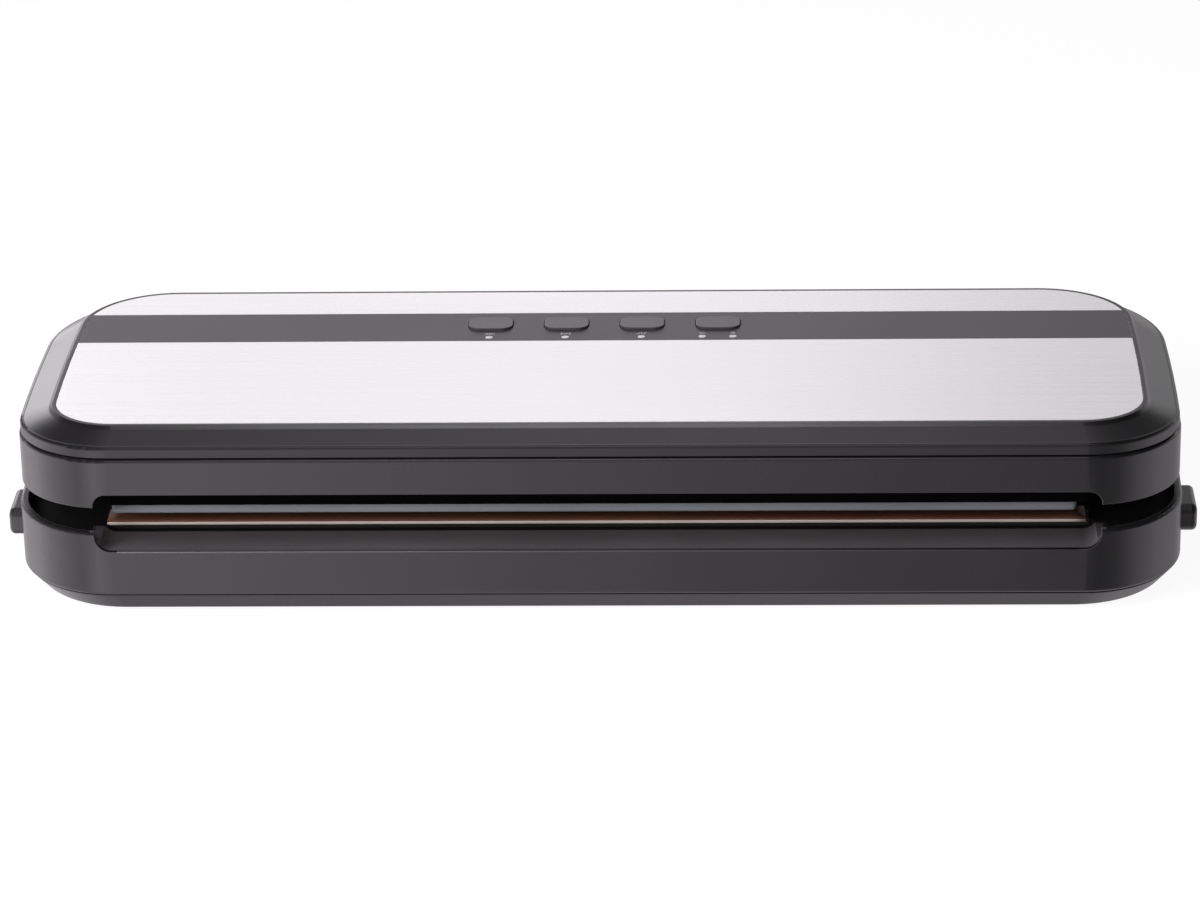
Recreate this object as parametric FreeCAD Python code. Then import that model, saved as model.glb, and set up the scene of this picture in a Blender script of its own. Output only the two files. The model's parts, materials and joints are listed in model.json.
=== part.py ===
import FreeCAD, Part
import math
import os
from FreeCAD import Vector

# A countertop vacuum sealer: a base with a heat-seal bar, vacuum trough and pump, under a hinged lid.
# Millimetres, +Z up, front towards -Y, origin on the table under the middle of the body.
# Lid pieces are drawn with the lid shut and then swung to the ajar pose that is stored.

# Body outline in plan: straight front and rear, gently bowed sides, round corners
BODY_W = 370.0
BODY_D = 145.0
SIDE_BOW = 2.0
CORNER_FRONT = 32.0
CORNER_REAR = 52.0
LEAST_CORNER = 3.0
WALL = 2.2

# Heights of the stacked shells, from the table up, with the lid shut
FOOT_H = 1.6
BOTTOM_H = 6.3
BASE_WALL_H = 21.3
LID_GAP = 2.6
LID_WALL_H = 16.4
SEAM_GAP = 0.6
COVER_H = 7.0
BEAD_H = 3.6
LIP_H = 1.1
AJAR_DEG = 2.2

# Edge finishes
RIM_ROUND = 0.9
LID_SEAM_ROUND = 1.0
LID_EDGE_ROUND = 0.6
BEAD_ROUND = 1.1
BEAD_LEDGE = 1.3
BASE_EDGE_ROUND = 1.2
PAN_GAP = 0.4
PAN_INSET = 1.0
PAN_FOOT_INSET = 4.6
PAN_CORNER = 36.0
PAN_SIDE_T = 1.0
PAN_ROUND = 0.8

# Deck of the base, its raised rear part and the recess in front of the seal bar
DECK_DROP = 4.2
DECK_T = 2.0
RIM_T = 2.4
DECK_FIT = 0.15
LEDGE_W = 2.8
LEDGE_T = 1.5
PLATEAU_SIDE = 30.0
PLATEAU_BEHIND = 7.0
PLATEAU_END = 10.5
PLATEAU_H = 6.0
PLATEAU_CORNER = 10.0
SLOT_END = 28.0
RECESS_DEPTH = 6.2
RECESS_CORNER = 5.2
FLOOR_T = 2.0

# Heat-seal bar, heating band and release tape
SEAL_FRONT = 22.5
BAR_W = 9.0
BAR_H = 7.0
BAR_SHORT = 2.7
BAR_PROUD = 0.4
BAND_W = 4.0
BAND_T = 0.15
TAPE_T = 0.15
BAR_FIT = 0.3

# Vacuum trough and the foam gaskets round it
GASKET_SHORT = 1.0
GASKET_BEHIND = 9.5
GASKET_REAR = 3.0
GASKET_W = 6.0
GASKET_CORNER = 14.0
GASKET_GROOVE = 1.0
GASKET_STAND = 4.0
GASKET_MEET = 0.3
TROUGH_MARGIN = 2.5
TROUGH_DEPTH = 8.0
TROUGH_WALL = 1.8

# Lid inside: liner plate, bag slot and pressure pad
LINER_LIFT = 1.2
LINER_T = 2.0
NOTCH_DEPTH = 4.7
NOTCH_CORNER = 4.0
SLOT_CEILING_T = 2.0
PAD_AHEAD = 9.5
PAD_BEHIND = 6.5
PAD_SHORT = 5.6
PAD_H = 6.5
PAD_SHOW = 2.9
PAD_LIP = 1.5
PAD_MEET = 0.35

# Lid outside: bevel, steel plates and control strip
LID_INSET = 1.0
COVER_INSET = 1.5
COVER_T = 2.0
BEVEL_INSET = 10.6
LIP_INSET = 11.7
PLATE_INSET = 13.0
FIELD_FRONT = 33.0
FIELD_REAR = 41.0
PLATE_T = 1.0
PLATE_FIT = 0.1
STRIP_FRONT = 13.0
STRIP_W = 26.0
TONGUE_T = 1.6
TONGUE_H = 3.5
TONGUE_ROOT = 1.0
TONGUE_FIT = 0.2
BOTTOM_TONGUE_H = 1.6

# Push buttons and indicator lights in the control strip
BUTTON_NAMES = ("vacuum_seal_button", "seal_button", "pulse_button", "food_mode_button")
BUTTON_PITCH = 24.9
BUTTON_W = 14.4
BUTTON_D = 12.4
BUTTON_Y = 28.8
BUTTON_CORNER = 4.0
BUTTON_FIT = 0.25
BUTTON_FRONT_H = 0.8
BUTTON_REAR_H = 0.1
BUTTON_TRAVEL = 0.8
FLANGE_LIP = 0.8
FLANGE_T = 0.9
FLANGE_FIT = 0.4
FLANGE_GAP = 0.1
STEM_R = 2.0
LENS_W = 2.4
LENS_D = 2.0
LENS_CORNER = 0.95
LENS_Y = 16.2
LENS_PAIR = 5.0
LENS_FIT = 0.05
LENS_PROUD = 0.1

# Control board in the lid with its switches and lamps
BOARD_W = 124.0
BOARD_D = 30.0
BOARD_T = 1.6
BOARD_Y = 26.0
BOARD_DROP = 6.4
SWITCH_W = 6.0
SWITCH_H = 3.5
PLUNGER_R = 1.75
PLUNGER_FIT = 0.1
PLUNGER_SINK = 1.5
LAMP_W = 2.0
LAMP_D = 1.2
LAMP_H = 1.0
LAMP_GAP = 0.3
POST_R = 2.6
POST_MARGIN = 4.0

# Hinge at the rear edge
HINGE_SIDE = 67.0
KNUCKLE_R = 3.0
KNUCKLE_W = 14.0
EAR_T = 5.0
PIN_R = 1.5
HINGE_DROP = 0.3
HINGE_RUN = 0.08
HINGE_SIDE_GAP = 0.3
EAR_CLEAR = 1.0

# Side release buttons, their latch plates and return springs, and the hooks on the lid
RELEASE_BEHIND = 23.0
RELEASE_L = 19.0
RELEASE_H = 9.0
RELEASE_Z = 16.2
RELEASE_PROUD = 5.0
RELEASE_FIT = 0.25
RELEASE_LIP = 1.5
RELEASE_FLANGE_T = 1.8
RELEASE_ROUND = 2.8
RELEASE_FACE_ROUND = 1.7
RELEASE_TRAVEL = 2.5
LATCH_T = 1.2
LATCH_RAIL = 1.6
LATCH_END = 5.0
HOOK_W = 8.0
HOOK_T = 2.5
HOOK_BARB = 1.8
HOOK_BARB_H = 1.6
HOOK_BITE = 1.0
HOOK_CLEAR = 0.4
HOOK_MEET = 0.2
HOOK_SIDE_CLEAR = 1.5
HOOK_SLOT_EXTRA = 2.5
HOOK_FOOT_L = 9.0
HOOK_FOOT_T = 2.0
HOOK_SEAT_FIT = 0.2
SPRING_L = 10.0
SPRING_R = 2.5
SPRING_WIRE_R = 0.3
SPRING_TURNS = 6
SPRING_PEG_R = 1.6
SPRING_PEG_L = 4.0
SPRING_FIT = 0.1
SPRING_STOP_T = 2.0
SPRING_SEAT_T = 1.5
SPRING_SEAT_H = 7.0
LID_SWITCH_L = 12.8
LID_SWITCH_W = 5.8
LID_SWITCH_PIP = 0.8
LID_SWITCH_PIP_R = 1.2
LID_SWITCH_CLEAR = 0.8

# Screws, bosses and feet
SCREW_R = 1.3
HEAD_R = 2.75
HEAD_H = 1.8
HEAD_FIT = 0.25
HEAD_SINK = 0.2
DRIVE_L = 2.6
DRIVE_W = 0.7
DRIVE_DEPTH = 1.0
SCREW_CLEAR = 0.3
SCREW_BITE = 9.0
BOSS_R = 3.6
LINER_PAD_H = 2.0
BOARD_BITE = 4.0
FRONT_BOSS_SIDE = 55.0
FRONT_BOSS_IN = 10.0
SIDE_BOSS_IN = 18.0
SIDE_BOSS_Y = 20.0
REAR_BOSS_X = 80.0
REAR_BOSS_IN = 9.5
LID_BOSS_SIDE = 45.0
LID_BOSS_Y = 14.0
LID_CORNER_SIDE = 40.0
LID_CORNER_IN = 20.5
LID_REAR_X = 48.0
LID_REAR_IN = 17.5
FOOT_R = 7.0
FOOT_SINK = 1.0
FOOT_FIT = 0.15
FOOT_SIDE = 35.0
FOOT_IN = 22.5

# Pump set, vent valve and hoses in the rear of the base
PUMP_X = -60.0
PUMP_IN = 36.5
PUMP_Z = 16.2
MOTOR_R = 11.0
MOTOR_L = 32.0
PUMP_W = 24.0
PUMP_BOX = 21.0
PUMP_BORE_R = 8.6
PUMP_HEAD_T = 4.0
DIAPHRAGM_T = 1.2
DIAPHRAGM_R = 7.6
SHAFT_R = 1.2
SHAFT_RUN = 0.08
CAM_R = 4.0
CAM_OFFSET = 1.5
CAM_T = 6.0
SHAFT_SINK = 10.0
SHAFT_END = 8.0
YOKE_GAP = 0.2
YOKE_T = 1.4
YOKE_W = 5.0
YOKE_ROD_R = 1.2
DIAPHRAGM_RIM = 1.0
DIAPHRAGM_FIT = 0.1
PUMP_END_WALL = 2.0
SADDLE_T = 5.0
SADDLE_W = 20.0
SADDLE_BELOW = 5.0
SADDLE_MARGIN = 4.0
VALVE_X = -14.0
VALVE_W = 16.0
VALVE_D = 22.0
VALVE_H = 17.0
NOZZLE_Z = 9.6
NOZZLE_R = 2.0
NOZZLE_STEM_R = 2.6
NOZZLE_BORE = 1.0
NOZZLE_FLANGE_R = 4.5
NOZZLE_FLANGE_T = 1.2
BARB_L = 8.0
HOSE_T = 1.5
HOSE_GAP = 0.2
HOSE_GRIP = 0.5

# Mains side: power board, its parts and the cord gland in the rear wall
POWER_SIDE = 39.0
POWER_IN = 14.5
POWER_L = 96.0
POWER_W = 44.0
POWER_T = 1.6
POWER_STAND = 4.0
STAND_R = 3.0
STAND_MARGIN = 5.0
COIL_W = 30.0
COIL_D = 25.0
COIL_H = 17.0
CAP_R = 5.0
CAP_H = 16.0
CAP_PITCH = 12.0
CAP_ALONG = 54.0
CAP_BACK = 32.0
CAP_COUNT = 3
COIL_ALONG = 22.0
COIL_BACK = 22.0
COIL_FLANGE_T = 2.0
COIL_INSET = 3.0
SINK_ALONG = 68.0
SINK_BACK = 9.0
SINK_W = 30.0
SINK_T = 2.0
SINK_H = 15.0
FIN_L = 7.0
FIN_T = 1.6
FIN_PITCH = 5.0
FIN_COUNT = 6
GLAND_SIDE = 64.0
GLAND_Z = 15.6
GLAND_BORE_R = 3.2
GLAND_BODY_R = 5.0
GLAND_FLANGE_R = 6.2
GLAND_FLANGE_T = 1.4
GLAND_L = 9.0
GLAND_BOSS = 2.0
GLAND_FIT = 0.05
VENT_W = 2.2
VENT_L = 24.0
VENT_PITCH = 6.0
VENT_COUNT = 11

# Levels and places worked out from the sizes above
SIDE_R = ((BODY_D / 2) ** 2 + SIDE_BOW ** 2) / (2 * SIDE_BOW)
BODY_CORNERS = (CORNER_FRONT, CORNER_REAR)
FIELD_CORNERS = (FIELD_FRONT, FIELD_REAR)
PAN_CORNERS = (PAN_CORNER, CORNER_REAR)
SEAM_Z = FOOT_H + BOTTOM_H
INNER_FLOOR_Z = FOOT_H + FLOOR_T
RIM_Z = SEAM_Z + BASE_WALL_H
DECK_Z = RIM_Z - DECK_DROP
DECK_UNDER_Z = DECK_Z - DECK_T
PLATEAU_Z = DECK_Z + PLATEAU_H
RECESS_Z = RIM_Z - RECESS_DEPTH
BAR_TOP_Z = DECK_Z + BAR_PROUD
SLOT_HALF = BODY_W / 2 - SLOT_END
BAR_HALF_L = SLOT_HALF - BAR_SHORT
GASKET_HALF_L = SLOT_HALF - GASKET_SHORT
PAD_HALF_L = SLOT_HALF - PAD_SHORT
SEAL_Y = -BODY_D / 2 + SEAL_FRONT
BAR_FRONT_Y = SEAL_Y - BAR_W / 2
RECESS_REAR_Y = BAR_FRONT_Y - BAR_FIT - WALL - DECK_FIT
GASKET_FRONT = SEAL_Y + GASKET_BEHIND
RELEASE_Y = SEAL_Y + RELEASE_BEHIND
PLATEAU_HALF_W = BODY_W / 2 - PLATEAU_SIDE
PLATEAU_FRONT = GASKET_REAR + PLATEAU_BEHIND
PLATEAU_REAR = BODY_D / 2 - PLATEAU_END
TAPE_TOP_Z = BAR_TOP_Z + BAND_T + TAPE_T
LID_EDGE_Z = RIM_Z + LID_GAP
LINER_Z = LID_EDGE_Z + LINER_LIFT
LINER_TOP_Z = LINER_Z + LINER_T
LID_SEAM_Z = LID_EDGE_Z + LID_WALL_H
COVER_Z = LID_SEAM_Z + SEAM_GAP
LID_TOP_Z = COVER_Z + COVER_H
PLATE_FLOOR_Z = LID_TOP_Z - PLATE_T
COVER_UNDER_Z = PLATE_FLOOR_Z - COVER_T
STRIP_REAR = STRIP_FRONT + STRIP_W
LOWER_GASKET_TOP = DECK_Z + GASKET_STAND
PAD_Z = TAPE_TOP_Z + PAD_MEET
PAD_FRONT_Y = SEAL_Y - PAD_AHEAD
PAD_REAR_Y = SEAL_Y + PAD_BEHIND
HOLDER_FRONT_Y = PAD_FRONT_Y - PAD_LIP
HOLDER_HALF_L = PAD_HALF_L + PAD_LIP
NOTCH_TOP_Z = LID_EDGE_Z + NOTCH_DEPTH
SLOT_CEILING_Z = NOTCH_TOP_Z + SLOT_CEILING_T
HINGE_X = BODY_W / 2 - HINGE_SIDE
HINGE_Y = BODY_D / 2 - KNUCKLE_R
HINGE_Z = LID_EDGE_Z - HINGE_DROP
TROUGH_HALF_L = GASKET_HALF_L - GASKET_W - TROUGH_MARGIN
TROUGH_FRONT = GASKET_FRONT + GASKET_W + TROUGH_MARGIN
TROUGH_REAR = GASKET_REAR - GASKET_W - TROUGH_MARGIN
TROUGH_CORNER = GASKET_CORNER - GASKET_W - TROUGH_MARGIN
TROUGH_Z = DECK_Z - TROUGH_DEPTH
NOZZLE_Y = (TROUGH_FRONT + TROUGH_REAR) / 2
BAR_BED_Z = BAR_TOP_Z - BAR_H
BUTTON_XS = [(i - (len(BUTTON_NAMES) - 1) / 2) * BUTTON_PITCH for i in range(len(BUTTON_NAMES))]
LENS_XS = BUTTON_XS[:-1] + [BUTTON_XS[-1] - LENS_PAIR, BUTTON_XS[-1] + LENS_PAIR]
BOARD_TOP_Z = COVER_UNDER_Z - BOARD_DROP + BOARD_T
SWITCH_TOP_Z = BOARD_TOP_Z + SWITCH_H
FLANGE_TOP_Z = PLATE_FLOOR_Z - FLANGE_GAP
STEM_END_Z = SWITCH_TOP_Z + BUTTON_TRAVEL + PLUNGER_FIT
POWER_TOP_Z = INNER_FLOOR_Z + POWER_STAND + POWER_T
POWER_X1 = BODY_W / 2 - POWER_SIDE
POWER_X0 = POWER_X1 - POWER_L
POWER_Y1 = BODY_D / 2 - POWER_IN
POWER_Y0 = POWER_Y1 - POWER_W
COIL_X = POWER_X0 + COIL_ALONG
COIL_Y = POWER_Y0 + COIL_BACK
CAP_X = POWER_X0 + CAP_ALONG
CAP_Y = POWER_Y0 + CAP_BACK
SINK_X = POWER_X0 + SINK_ALONG
SINK_Y = POWER_Y0 + SINK_BACK
GLAND_X = BODY_W / 2 - GLAND_SIDE
PUMP_Y = BODY_D / 2 - PUMP_IN
FOOT_X = BODY_W / 2 - FOOT_SIDE
FOOT_Y = BODY_D / 2 - FOOT_IN
FRONT_SCREWS = [(s * (BODY_W / 2 - FRONT_BOSS_SIDE), -BODY_D / 2 + FRONT_BOSS_IN) for s in (-1, 1)]
DECK_SCREWS = [(s * (BODY_W / 2 - SIDE_BOSS_IN), SIDE_BOSS_Y) for s in (-1, 1)]
DECK_SCREWS += [(s * REAR_BOSS_X, BODY_D / 2 - REAR_BOSS_IN) for s in (-1, 1)]
BASE_SCREWS = FRONT_SCREWS + DECK_SCREWS
LID_SCREWS = [(s * (BODY_W / 2 - LID_BOSS_SIDE), LID_BOSS_Y) for s in (-1, 1)]
LID_SCREWS += [(s * (BODY_W / 2 - LID_CORNER_SIDE), BODY_D / 2 - LID_CORNER_IN) for s in (-1, 1)]
LID_SCREWS += [(s * LID_REAR_X, BODY_D / 2 - LID_REAR_IN) for s in (-1, 1)]


def side_x(y, inset=0.0):
    """Half-width of the body outline at depth y, on the bowed side."""
    return BODY_W / 2 - SIDE_R + math.sqrt((SIDE_R - inset) ** 2 - y ** 2)


def corner(inset, radius, rear):
    """Centre, radius and side tangent angle of one right-hand corner arc of the outline."""
    r = max(radius - inset, LEAST_CORNER)
    cy = (BODY_D / 2 - inset - r) * (1 if rear else -1)
    side_cx = BODY_W / 2 - SIDE_R
    cx = side_cx + math.sqrt((SIDE_R - inset - r) ** 2 - cy ** 2)
    return cx, cy, r, math.atan2(cy, cx - side_cx)


def arc(a, b, c):
    return Part.Arc(a, b, c).toShape()


def outline(inset, z, corners=BODY_CORNERS):
    """Closed outline of the body moved inward by inset, at height z."""
    half_d = BODY_D / 2 - inset
    side_cx = BODY_W / 2 - SIDE_R
    side_r = SIDE_R - inset
    right = []
    for radius, rear in zip(corners, (False, True)):
        cx, cy, r, side_angle = corner(inset, radius, rear)
        end_angle = math.copysign(math.pi / 2, cy)
        mid = (side_angle + end_angle) / 2
        right.append({
            "end": (cx, math.copysign(half_d, cy)),
            "mid": (cx + r * math.cos(mid), cy + r * math.sin(mid)),
            "side": (side_cx + side_r * math.cos(side_angle), side_r * math.sin(side_angle)),
        })
    front, rear = right
    side_mid = (side_cx + side_r, 0.0)

    def at(p, mirror=False):
        return Vector(-p[0] if mirror else p[0], p[1], z)

    edges = [
        Part.LineSegment(at(front["end"], True), at(front["end"])).toShape(),
        arc(at(front["end"]), at(front["mid"]), at(front["side"])),
        arc(at(front["side"]), at(side_mid), at(rear["side"])),
        arc(at(rear["side"]), at(rear["mid"]), at(rear["end"])),
        Part.LineSegment(at(rear["end"]), at(rear["end"], True)).toShape(),
        arc(at(rear["end"], True), at(rear["mid"], True), at(rear["side"], True)),
        arc(at(rear["side"], True), at(side_mid, True), at(front["side"], True)),
        arc(at(front["side"], True), at(front["mid"], True), at(front["end"], True)),
    ]
    return Part.Wire(edges)


def body_prism(inset, z0, z1, corners=BODY_CORNERS):
    return Part.Face(outline(inset, z0, corners)).extrude(Vector(0, 0, z1 - z0))


def taper(lower, upper):
    return Part.makeLoft([lower, upper], True, True)


def box(x0, x1, y0, y1, z0, z1):
    return Part.makeBox(x1 - x0, y1 - y0, z1 - z0, Vector(x0, y0, z0))


def centred_box(x, y, w, d, z0, z1):
    return box(x - w / 2, x + w / 2, y - d / 2, y + d / 2, z0, z1)


def rod(radius, base, direction, length):
    return Part.makeCylinder(radius, length, base, direction)


def post(radius, x, y, z0, z1):
    return rod(radius, Vector(x, y, z0), Vector(0, 0, 1), z1 - z0)


def round_box(x0, x1, y0, y1, z0, z1, radius):
    """Box with rounded upright edges."""
    solid = box(x0, x1, y0, y1, z0, z1)
    upright = [e for e in solid.Edges if abs(e.tangentAt(e.FirstParameter).z) > 0.5]
    return solid.makeFillet(radius, upright)


def joined(solids):
    first, *rest = solids
    return first.multiFuse(rest).removeSplitter() if rest else first


def rounded_at(solid, z, radius):
    """Rounds every edge that lies level at height z."""
    level = [e for e in solid.Edges if abs(e.BoundBox.ZMin - z) < 1e-4 and abs(e.BoundBox.ZMax - z) < 1e-4]
    return solid.makeFillet(radius, level)


def slot_prism(half, z_mouth, z_end, radius, y0, y1):
    """Bar-shaped cutter along Y with its two far corners rounded, open end at z_mouth."""
    solid = box(-half, half, y0, y1, min(z_mouth, z_end), max(z_mouth, z_end))
    far = [
        e for e in solid.Edges
        if abs(e.tangentAt(e.FirstParameter).y) > 0.5 and abs(e.BoundBox.ZMin - z_end) < 1e-6
    ]
    return solid.makeFillet(radius, far)


def screw(x, y, head_z, shank_to):
    """Cross-drive screw driven upwards, with the inner face of its head at head_z."""
    face_z = head_z - HEAD_H
    head = post(HEAD_R, x, y, face_z, head_z)
    for w, d in ((DRIVE_L, DRIVE_W), (DRIVE_W, DRIVE_L)):
        head = head.cut(centred_box(x, y, w, d, face_z, face_z + DRIVE_DEPTH))
    return joined([head, post(SCREW_R, x, y, head_z, shank_to)])


def ajar(shape):
    """Swings a piece of the shut lid to the stored pose."""
    turned = shape.copy()
    turned.rotate(Vector(0, HINGE_Y, HINGE_Z), Vector(-1, 0, 0), AJAR_DEG)
    return turned


def mirrored(shape):
    return shape.mirror(Vector(0, 0, 0), Vector(1, 0, 0))


def clear_above(inset, z):
    """Everything inside the outline from z to well above the lid."""
    return body_prism(inset, z, LID_TOP_Z)


def gasket_ring(z0, z1):
    """Rounded ring that runs round the trough."""
    outer = round_box(-GASKET_HALF_L, GASKET_HALF_L, GASKET_FRONT, GASKET_REAR, z0, z1, GASKET_CORNER)
    inner = round_box(
        -GASKET_HALF_L + GASKET_W, GASKET_HALF_L - GASKET_W, GASKET_FRONT + GASKET_W, GASKET_REAR - GASKET_W,
        z0, z1, GASKET_CORNER - GASKET_W,
    )
    return outer.cut(inner)


def trough_block(grow, z0, z1):
    return round_box(
        -TROUGH_HALF_L - grow, TROUGH_HALF_L + grow, TROUGH_FRONT - grow, TROUGH_REAR + grow,
        z0, z1, TROUGH_CORNER + grow,
    )


def bar_block(grow, z0, z1):
    half_w = BAR_W / 2 + grow
    return box(-BAR_HALF_L - grow, BAR_HALF_L + grow, SEAL_Y - half_w, SEAL_Y + half_w, z0, z1)


# Places of the release latch on the right-hand side
FLANGE_OUT_X = side_x(RELEASE_Y - RELEASE_L / 2 - RELEASE_LIP, WALL) - RELEASE_FIT
FLANGE_IN_X = FLANGE_OUT_X - RELEASE_FLANGE_T
HOOK_OUT_X = FLANGE_IN_X - RELEASE_TRAVEL - HOOK_CLEAR
HOOK_IN_X = HOOK_OUT_X - HOOK_T
BARB_X = HOOK_IN_X - HOOK_BARB
WINDOW_X = BARB_X + HOOK_BITE
LATCH_X = WINDOW_X - LATCH_END
SPRING_STOP_X = LATCH_X - SPRING_L
LATCH_W = HOOK_W + 2 * (HOOK_SIDE_CLEAR + LATCH_RAIL)
BARB_TOP_Z = RELEASE_Z - LATCH_T / 2 - HOOK_MEET
HOOK_END_Z = BARB_TOP_Z - HOOK_BARB_H


def release_block(grow, x0, x1):
    """Bar along X with the section of the release button."""
    half_l = RELEASE_L / 2 + grow
    half_h = RELEASE_H / 2 + grow
    solid = box(x0, x1, RELEASE_Y - half_l, RELEASE_Y + half_l, RELEASE_Z - half_h, RELEASE_Z + half_h)
    along = [e for e in solid.Edges if abs(e.tangentAt(e.FirstParameter).x) > 0.5]
    return solid.makeFillet(RELEASE_ROUND + grow, along)


def knuckle_spans():
    """X spans of the two gaps in the base that take the lid knuckles."""
    near = KNUCKLE_W / 2 + HINGE_SIDE_GAP
    return [(centre - near, centre + near) for centre in (-HINGE_X, HINGE_X)]


def ear_spans():
    """X spans of the four hinge ears of the base, two round each lid knuckle."""
    spans = []
    for x0, x1 in knuckle_spans():
        spans += [(x0 - EAR_T, x0), (x1, x1 + EAR_T)]
    return spans


def hinge_rod(radius, x0, x1):
    return rod(radius, Vector(x0, HINGE_Y, HINGE_Z), Vector(1, 0, 0), x1 - x0)


def hinge_lug(x0, x1, z_root):
    """Knuckle round the hinge axis, carried by a block that reaches to z_root."""
    z0, z1 = sorted((HINGE_Z, z_root))
    block = box(x0, x1, HINGE_Y - KNUCKLE_R, HINGE_Y + KNUCKLE_R, z0, z1)
    return joined([block, hinge_rod(KNUCKLE_R, x0, x1)])


def gland_rod(radius, depth0, depth1):
    """Cylinder square to the rear wall, between two depths from its outside."""
    start = Vector(GLAND_X, BODY_D / 2 - depth1, GLAND_Z)
    return rod(radius, start, Vector(0, 1, 0), depth1 - depth0)


def recess_block(grow, y1, z0):
    """Block under and beside the recess, from the front wall back to y1."""
    half_w = SLOT_HALF + WALL + grow
    block = box(-half_w, half_w, -BODY_D / 2, y1, z0, DECK_Z)
    return block.common(body_prism(WALL / 2, SEAM_Z, RIM_Z))


def recess_cut():
    return slot_prism(SLOT_HALF, LID_TOP_Z, RECESS_Z, RECESS_CORNER, -BODY_D, BAR_FRONT_Y)


def base_housing():
    shell = rounded_at(body_prism(0, SEAM_Z, RIM_Z), RIM_Z, RIM_ROUND)
    shell = rounded_at(shell, SEAM_Z, BASE_EDGE_ROUND)
    ledge_z = DECK_UNDER_Z - LEDGE_T
    shell = shell.cut([
        clear_above(RIM_T, DECK_UNDER_Z),
        body_prism(WALL + LEDGE_W, ledge_z, DECK_UNDER_Z),
        body_prism(WALL, FOOT_H, ledge_z),
    ])
    release_gap = centred_box(
        BODY_W / 2, RELEASE_Y, 2 * SLOT_END, RELEASE_L + 2 * RELEASE_LIP + 2 * LEDGE_W, ledge_z, DECK_UNDER_Z)
    release_gap = release_gap.common(body_prism(WALL, ledge_z, DECK_UNDER_Z))
    shell = shell.cut([release_gap, mirrored(release_gap)])
    added = [
        recess_block(0, RECESS_REAR_Y, RECESS_Z - FLOOR_T),
        gland_rod(GLAND_BODY_R + GLAND_BOSS, WALL / 2, GLAND_L - GLAND_FLANGE_T),
    ]
    added += [hinge_lug(x0, x1, DECK_UNDER_Z) for x0, x1 in ear_spans()]
    added += [post(BOSS_R, x, y, SEAM_Z, RECESS_Z - FLOOR_T / 2) for x, y in FRONT_SCREWS]
    shell = joined([shell] + added)

    window = release_block(RELEASE_FIT, FLANGE_IN_X, BODY_W / 2 + RELEASE_PROUD)
    cuts = [
        recess_cut(),
        window,
        mirrored(window),
        gland_rod(GLAND_BODY_R + GLAND_FIT, 0, GLAND_L),
        gland_rod(GLAND_FLANGE_R + GLAND_FIT, 0, GLAND_FLANGE_T),
    ]
    cuts += [hinge_rod(PIN_R, x0, x1) for x0, x1 in ear_spans()]
    knuckle_z = HINGE_Z - KNUCKLE_R - EAR_CLEAR
    cuts += [box(x0, x1, HINGE_Y - KNUCKLE_R, BODY_D, knuckle_z, LID_TOP_Z) for x0, x1 in knuckle_spans()]
    cuts += [post(SCREW_R, x, y, SEAM_Z, SEAM_Z + SCREW_BITE) for x, y in FRONT_SCREWS]
    cuts += [post(BOSS_R + DECK_FIT, x, y, ledge_z, DECK_UNDER_Z) for x, y in DECK_SCREWS]
    return shell.cut(cuts)


def chamber_deck():
    """Deck that drops into the housing: bar channel, trough mouth, gasket groove and raised rear part."""
    plate = body_prism(RIM_T + DECK_FIT, DECK_UNDER_Z, DECK_Z)
    plate = plate.cut(recess_block(DECK_FIT, RECESS_REAR_Y + DECK_FIT, DECK_UNDER_Z))
    plateau = round_box(
        -PLATEAU_HALF_W, PLATEAU_HALF_W, PLATEAU_FRONT, PLATEAU_REAR, DECK_UNDER_Z, PLATEAU_Z, PLATEAU_CORNER)
    stop = box(
        SPRING_STOP_X - SPRING_STOP_T, SPRING_STOP_X, RELEASE_Y - LATCH_W / 2, RELEASE_Y + LATCH_W / 2,
        RELEASE_Z - SPRING_SEAT_H / 2, DECK_Z)
    added = [
        plateau,
        bar_block(BAR_FIT + WALL, BAR_BED_Z - FLOOR_T, DECK_Z),
        stop,
        mirrored(stop),
    ]
    added += [post(BOSS_R, x, y, SEAM_Z, DECK_UNDER_Z + DECK_T / 2) for x, y in DECK_SCREWS]
    deck = joined([plate] + added)

    hook_hole = box(
        BARB_X - HOOK_CLEAR, HOOK_OUT_X + HOOK_CLEAR,
        RELEASE_Y - HOOK_W / 2 - HOOK_SLOT_EXTRA, RELEASE_Y + HOOK_W / 2 + HOOK_SLOT_EXTRA,
        DECK_UNDER_Z, DECK_Z)
    cuts = [
        round_box(
            -PLATEAU_HALF_W + WALL, PLATEAU_HALF_W - WALL, PLATEAU_FRONT + WALL, PLATEAU_REAR - WALL,
            DECK_UNDER_Z, PLATEAU_Z - DECK_T, PLATEAU_CORNER - WALL),
        recess_cut(),
        bar_block(BAR_FIT, BAR_BED_Z, DECK_Z),
        trough_block(0, DECK_UNDER_Z, DECK_Z),
        gasket_ring(DECK_Z - GASKET_GROOVE, DECK_Z),
        hook_hole,
        mirrored(hook_hole),
    ]
    cuts += [
        box(x0 - DECK_FIT, x1 + DECK_FIT, HINGE_Y - KNUCKLE_R - DECK_FIT, BODY_D, DECK_UNDER_Z, PLATEAU_Z)
        for x0, x1 in ear_spans()
    ]
    cuts += [post(SCREW_R, x, y, SEAM_Z, SEAM_Z + SCREW_BITE) for x, y in DECK_SCREWS]
    return deck.cut(cuts)


def trough_basin():
    """Basin against the underside of the deck that catches drips, with holes for the suction nozzles."""
    basin = trough_block(TROUGH_WALL, TROUGH_Z - TROUGH_WALL, DECK_UNDER_Z)
    cuts = [trough_block(0, TROUGH_Z, DECK_UNDER_Z)]
    cuts += [post(NOZZLE_STEM_R, x, NOZZLE_Y, TROUGH_Z - TROUGH_WALL, TROUGH_Z) for x in (PUMP_X, VALVE_X)]
    return basin.cut(cuts)


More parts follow.
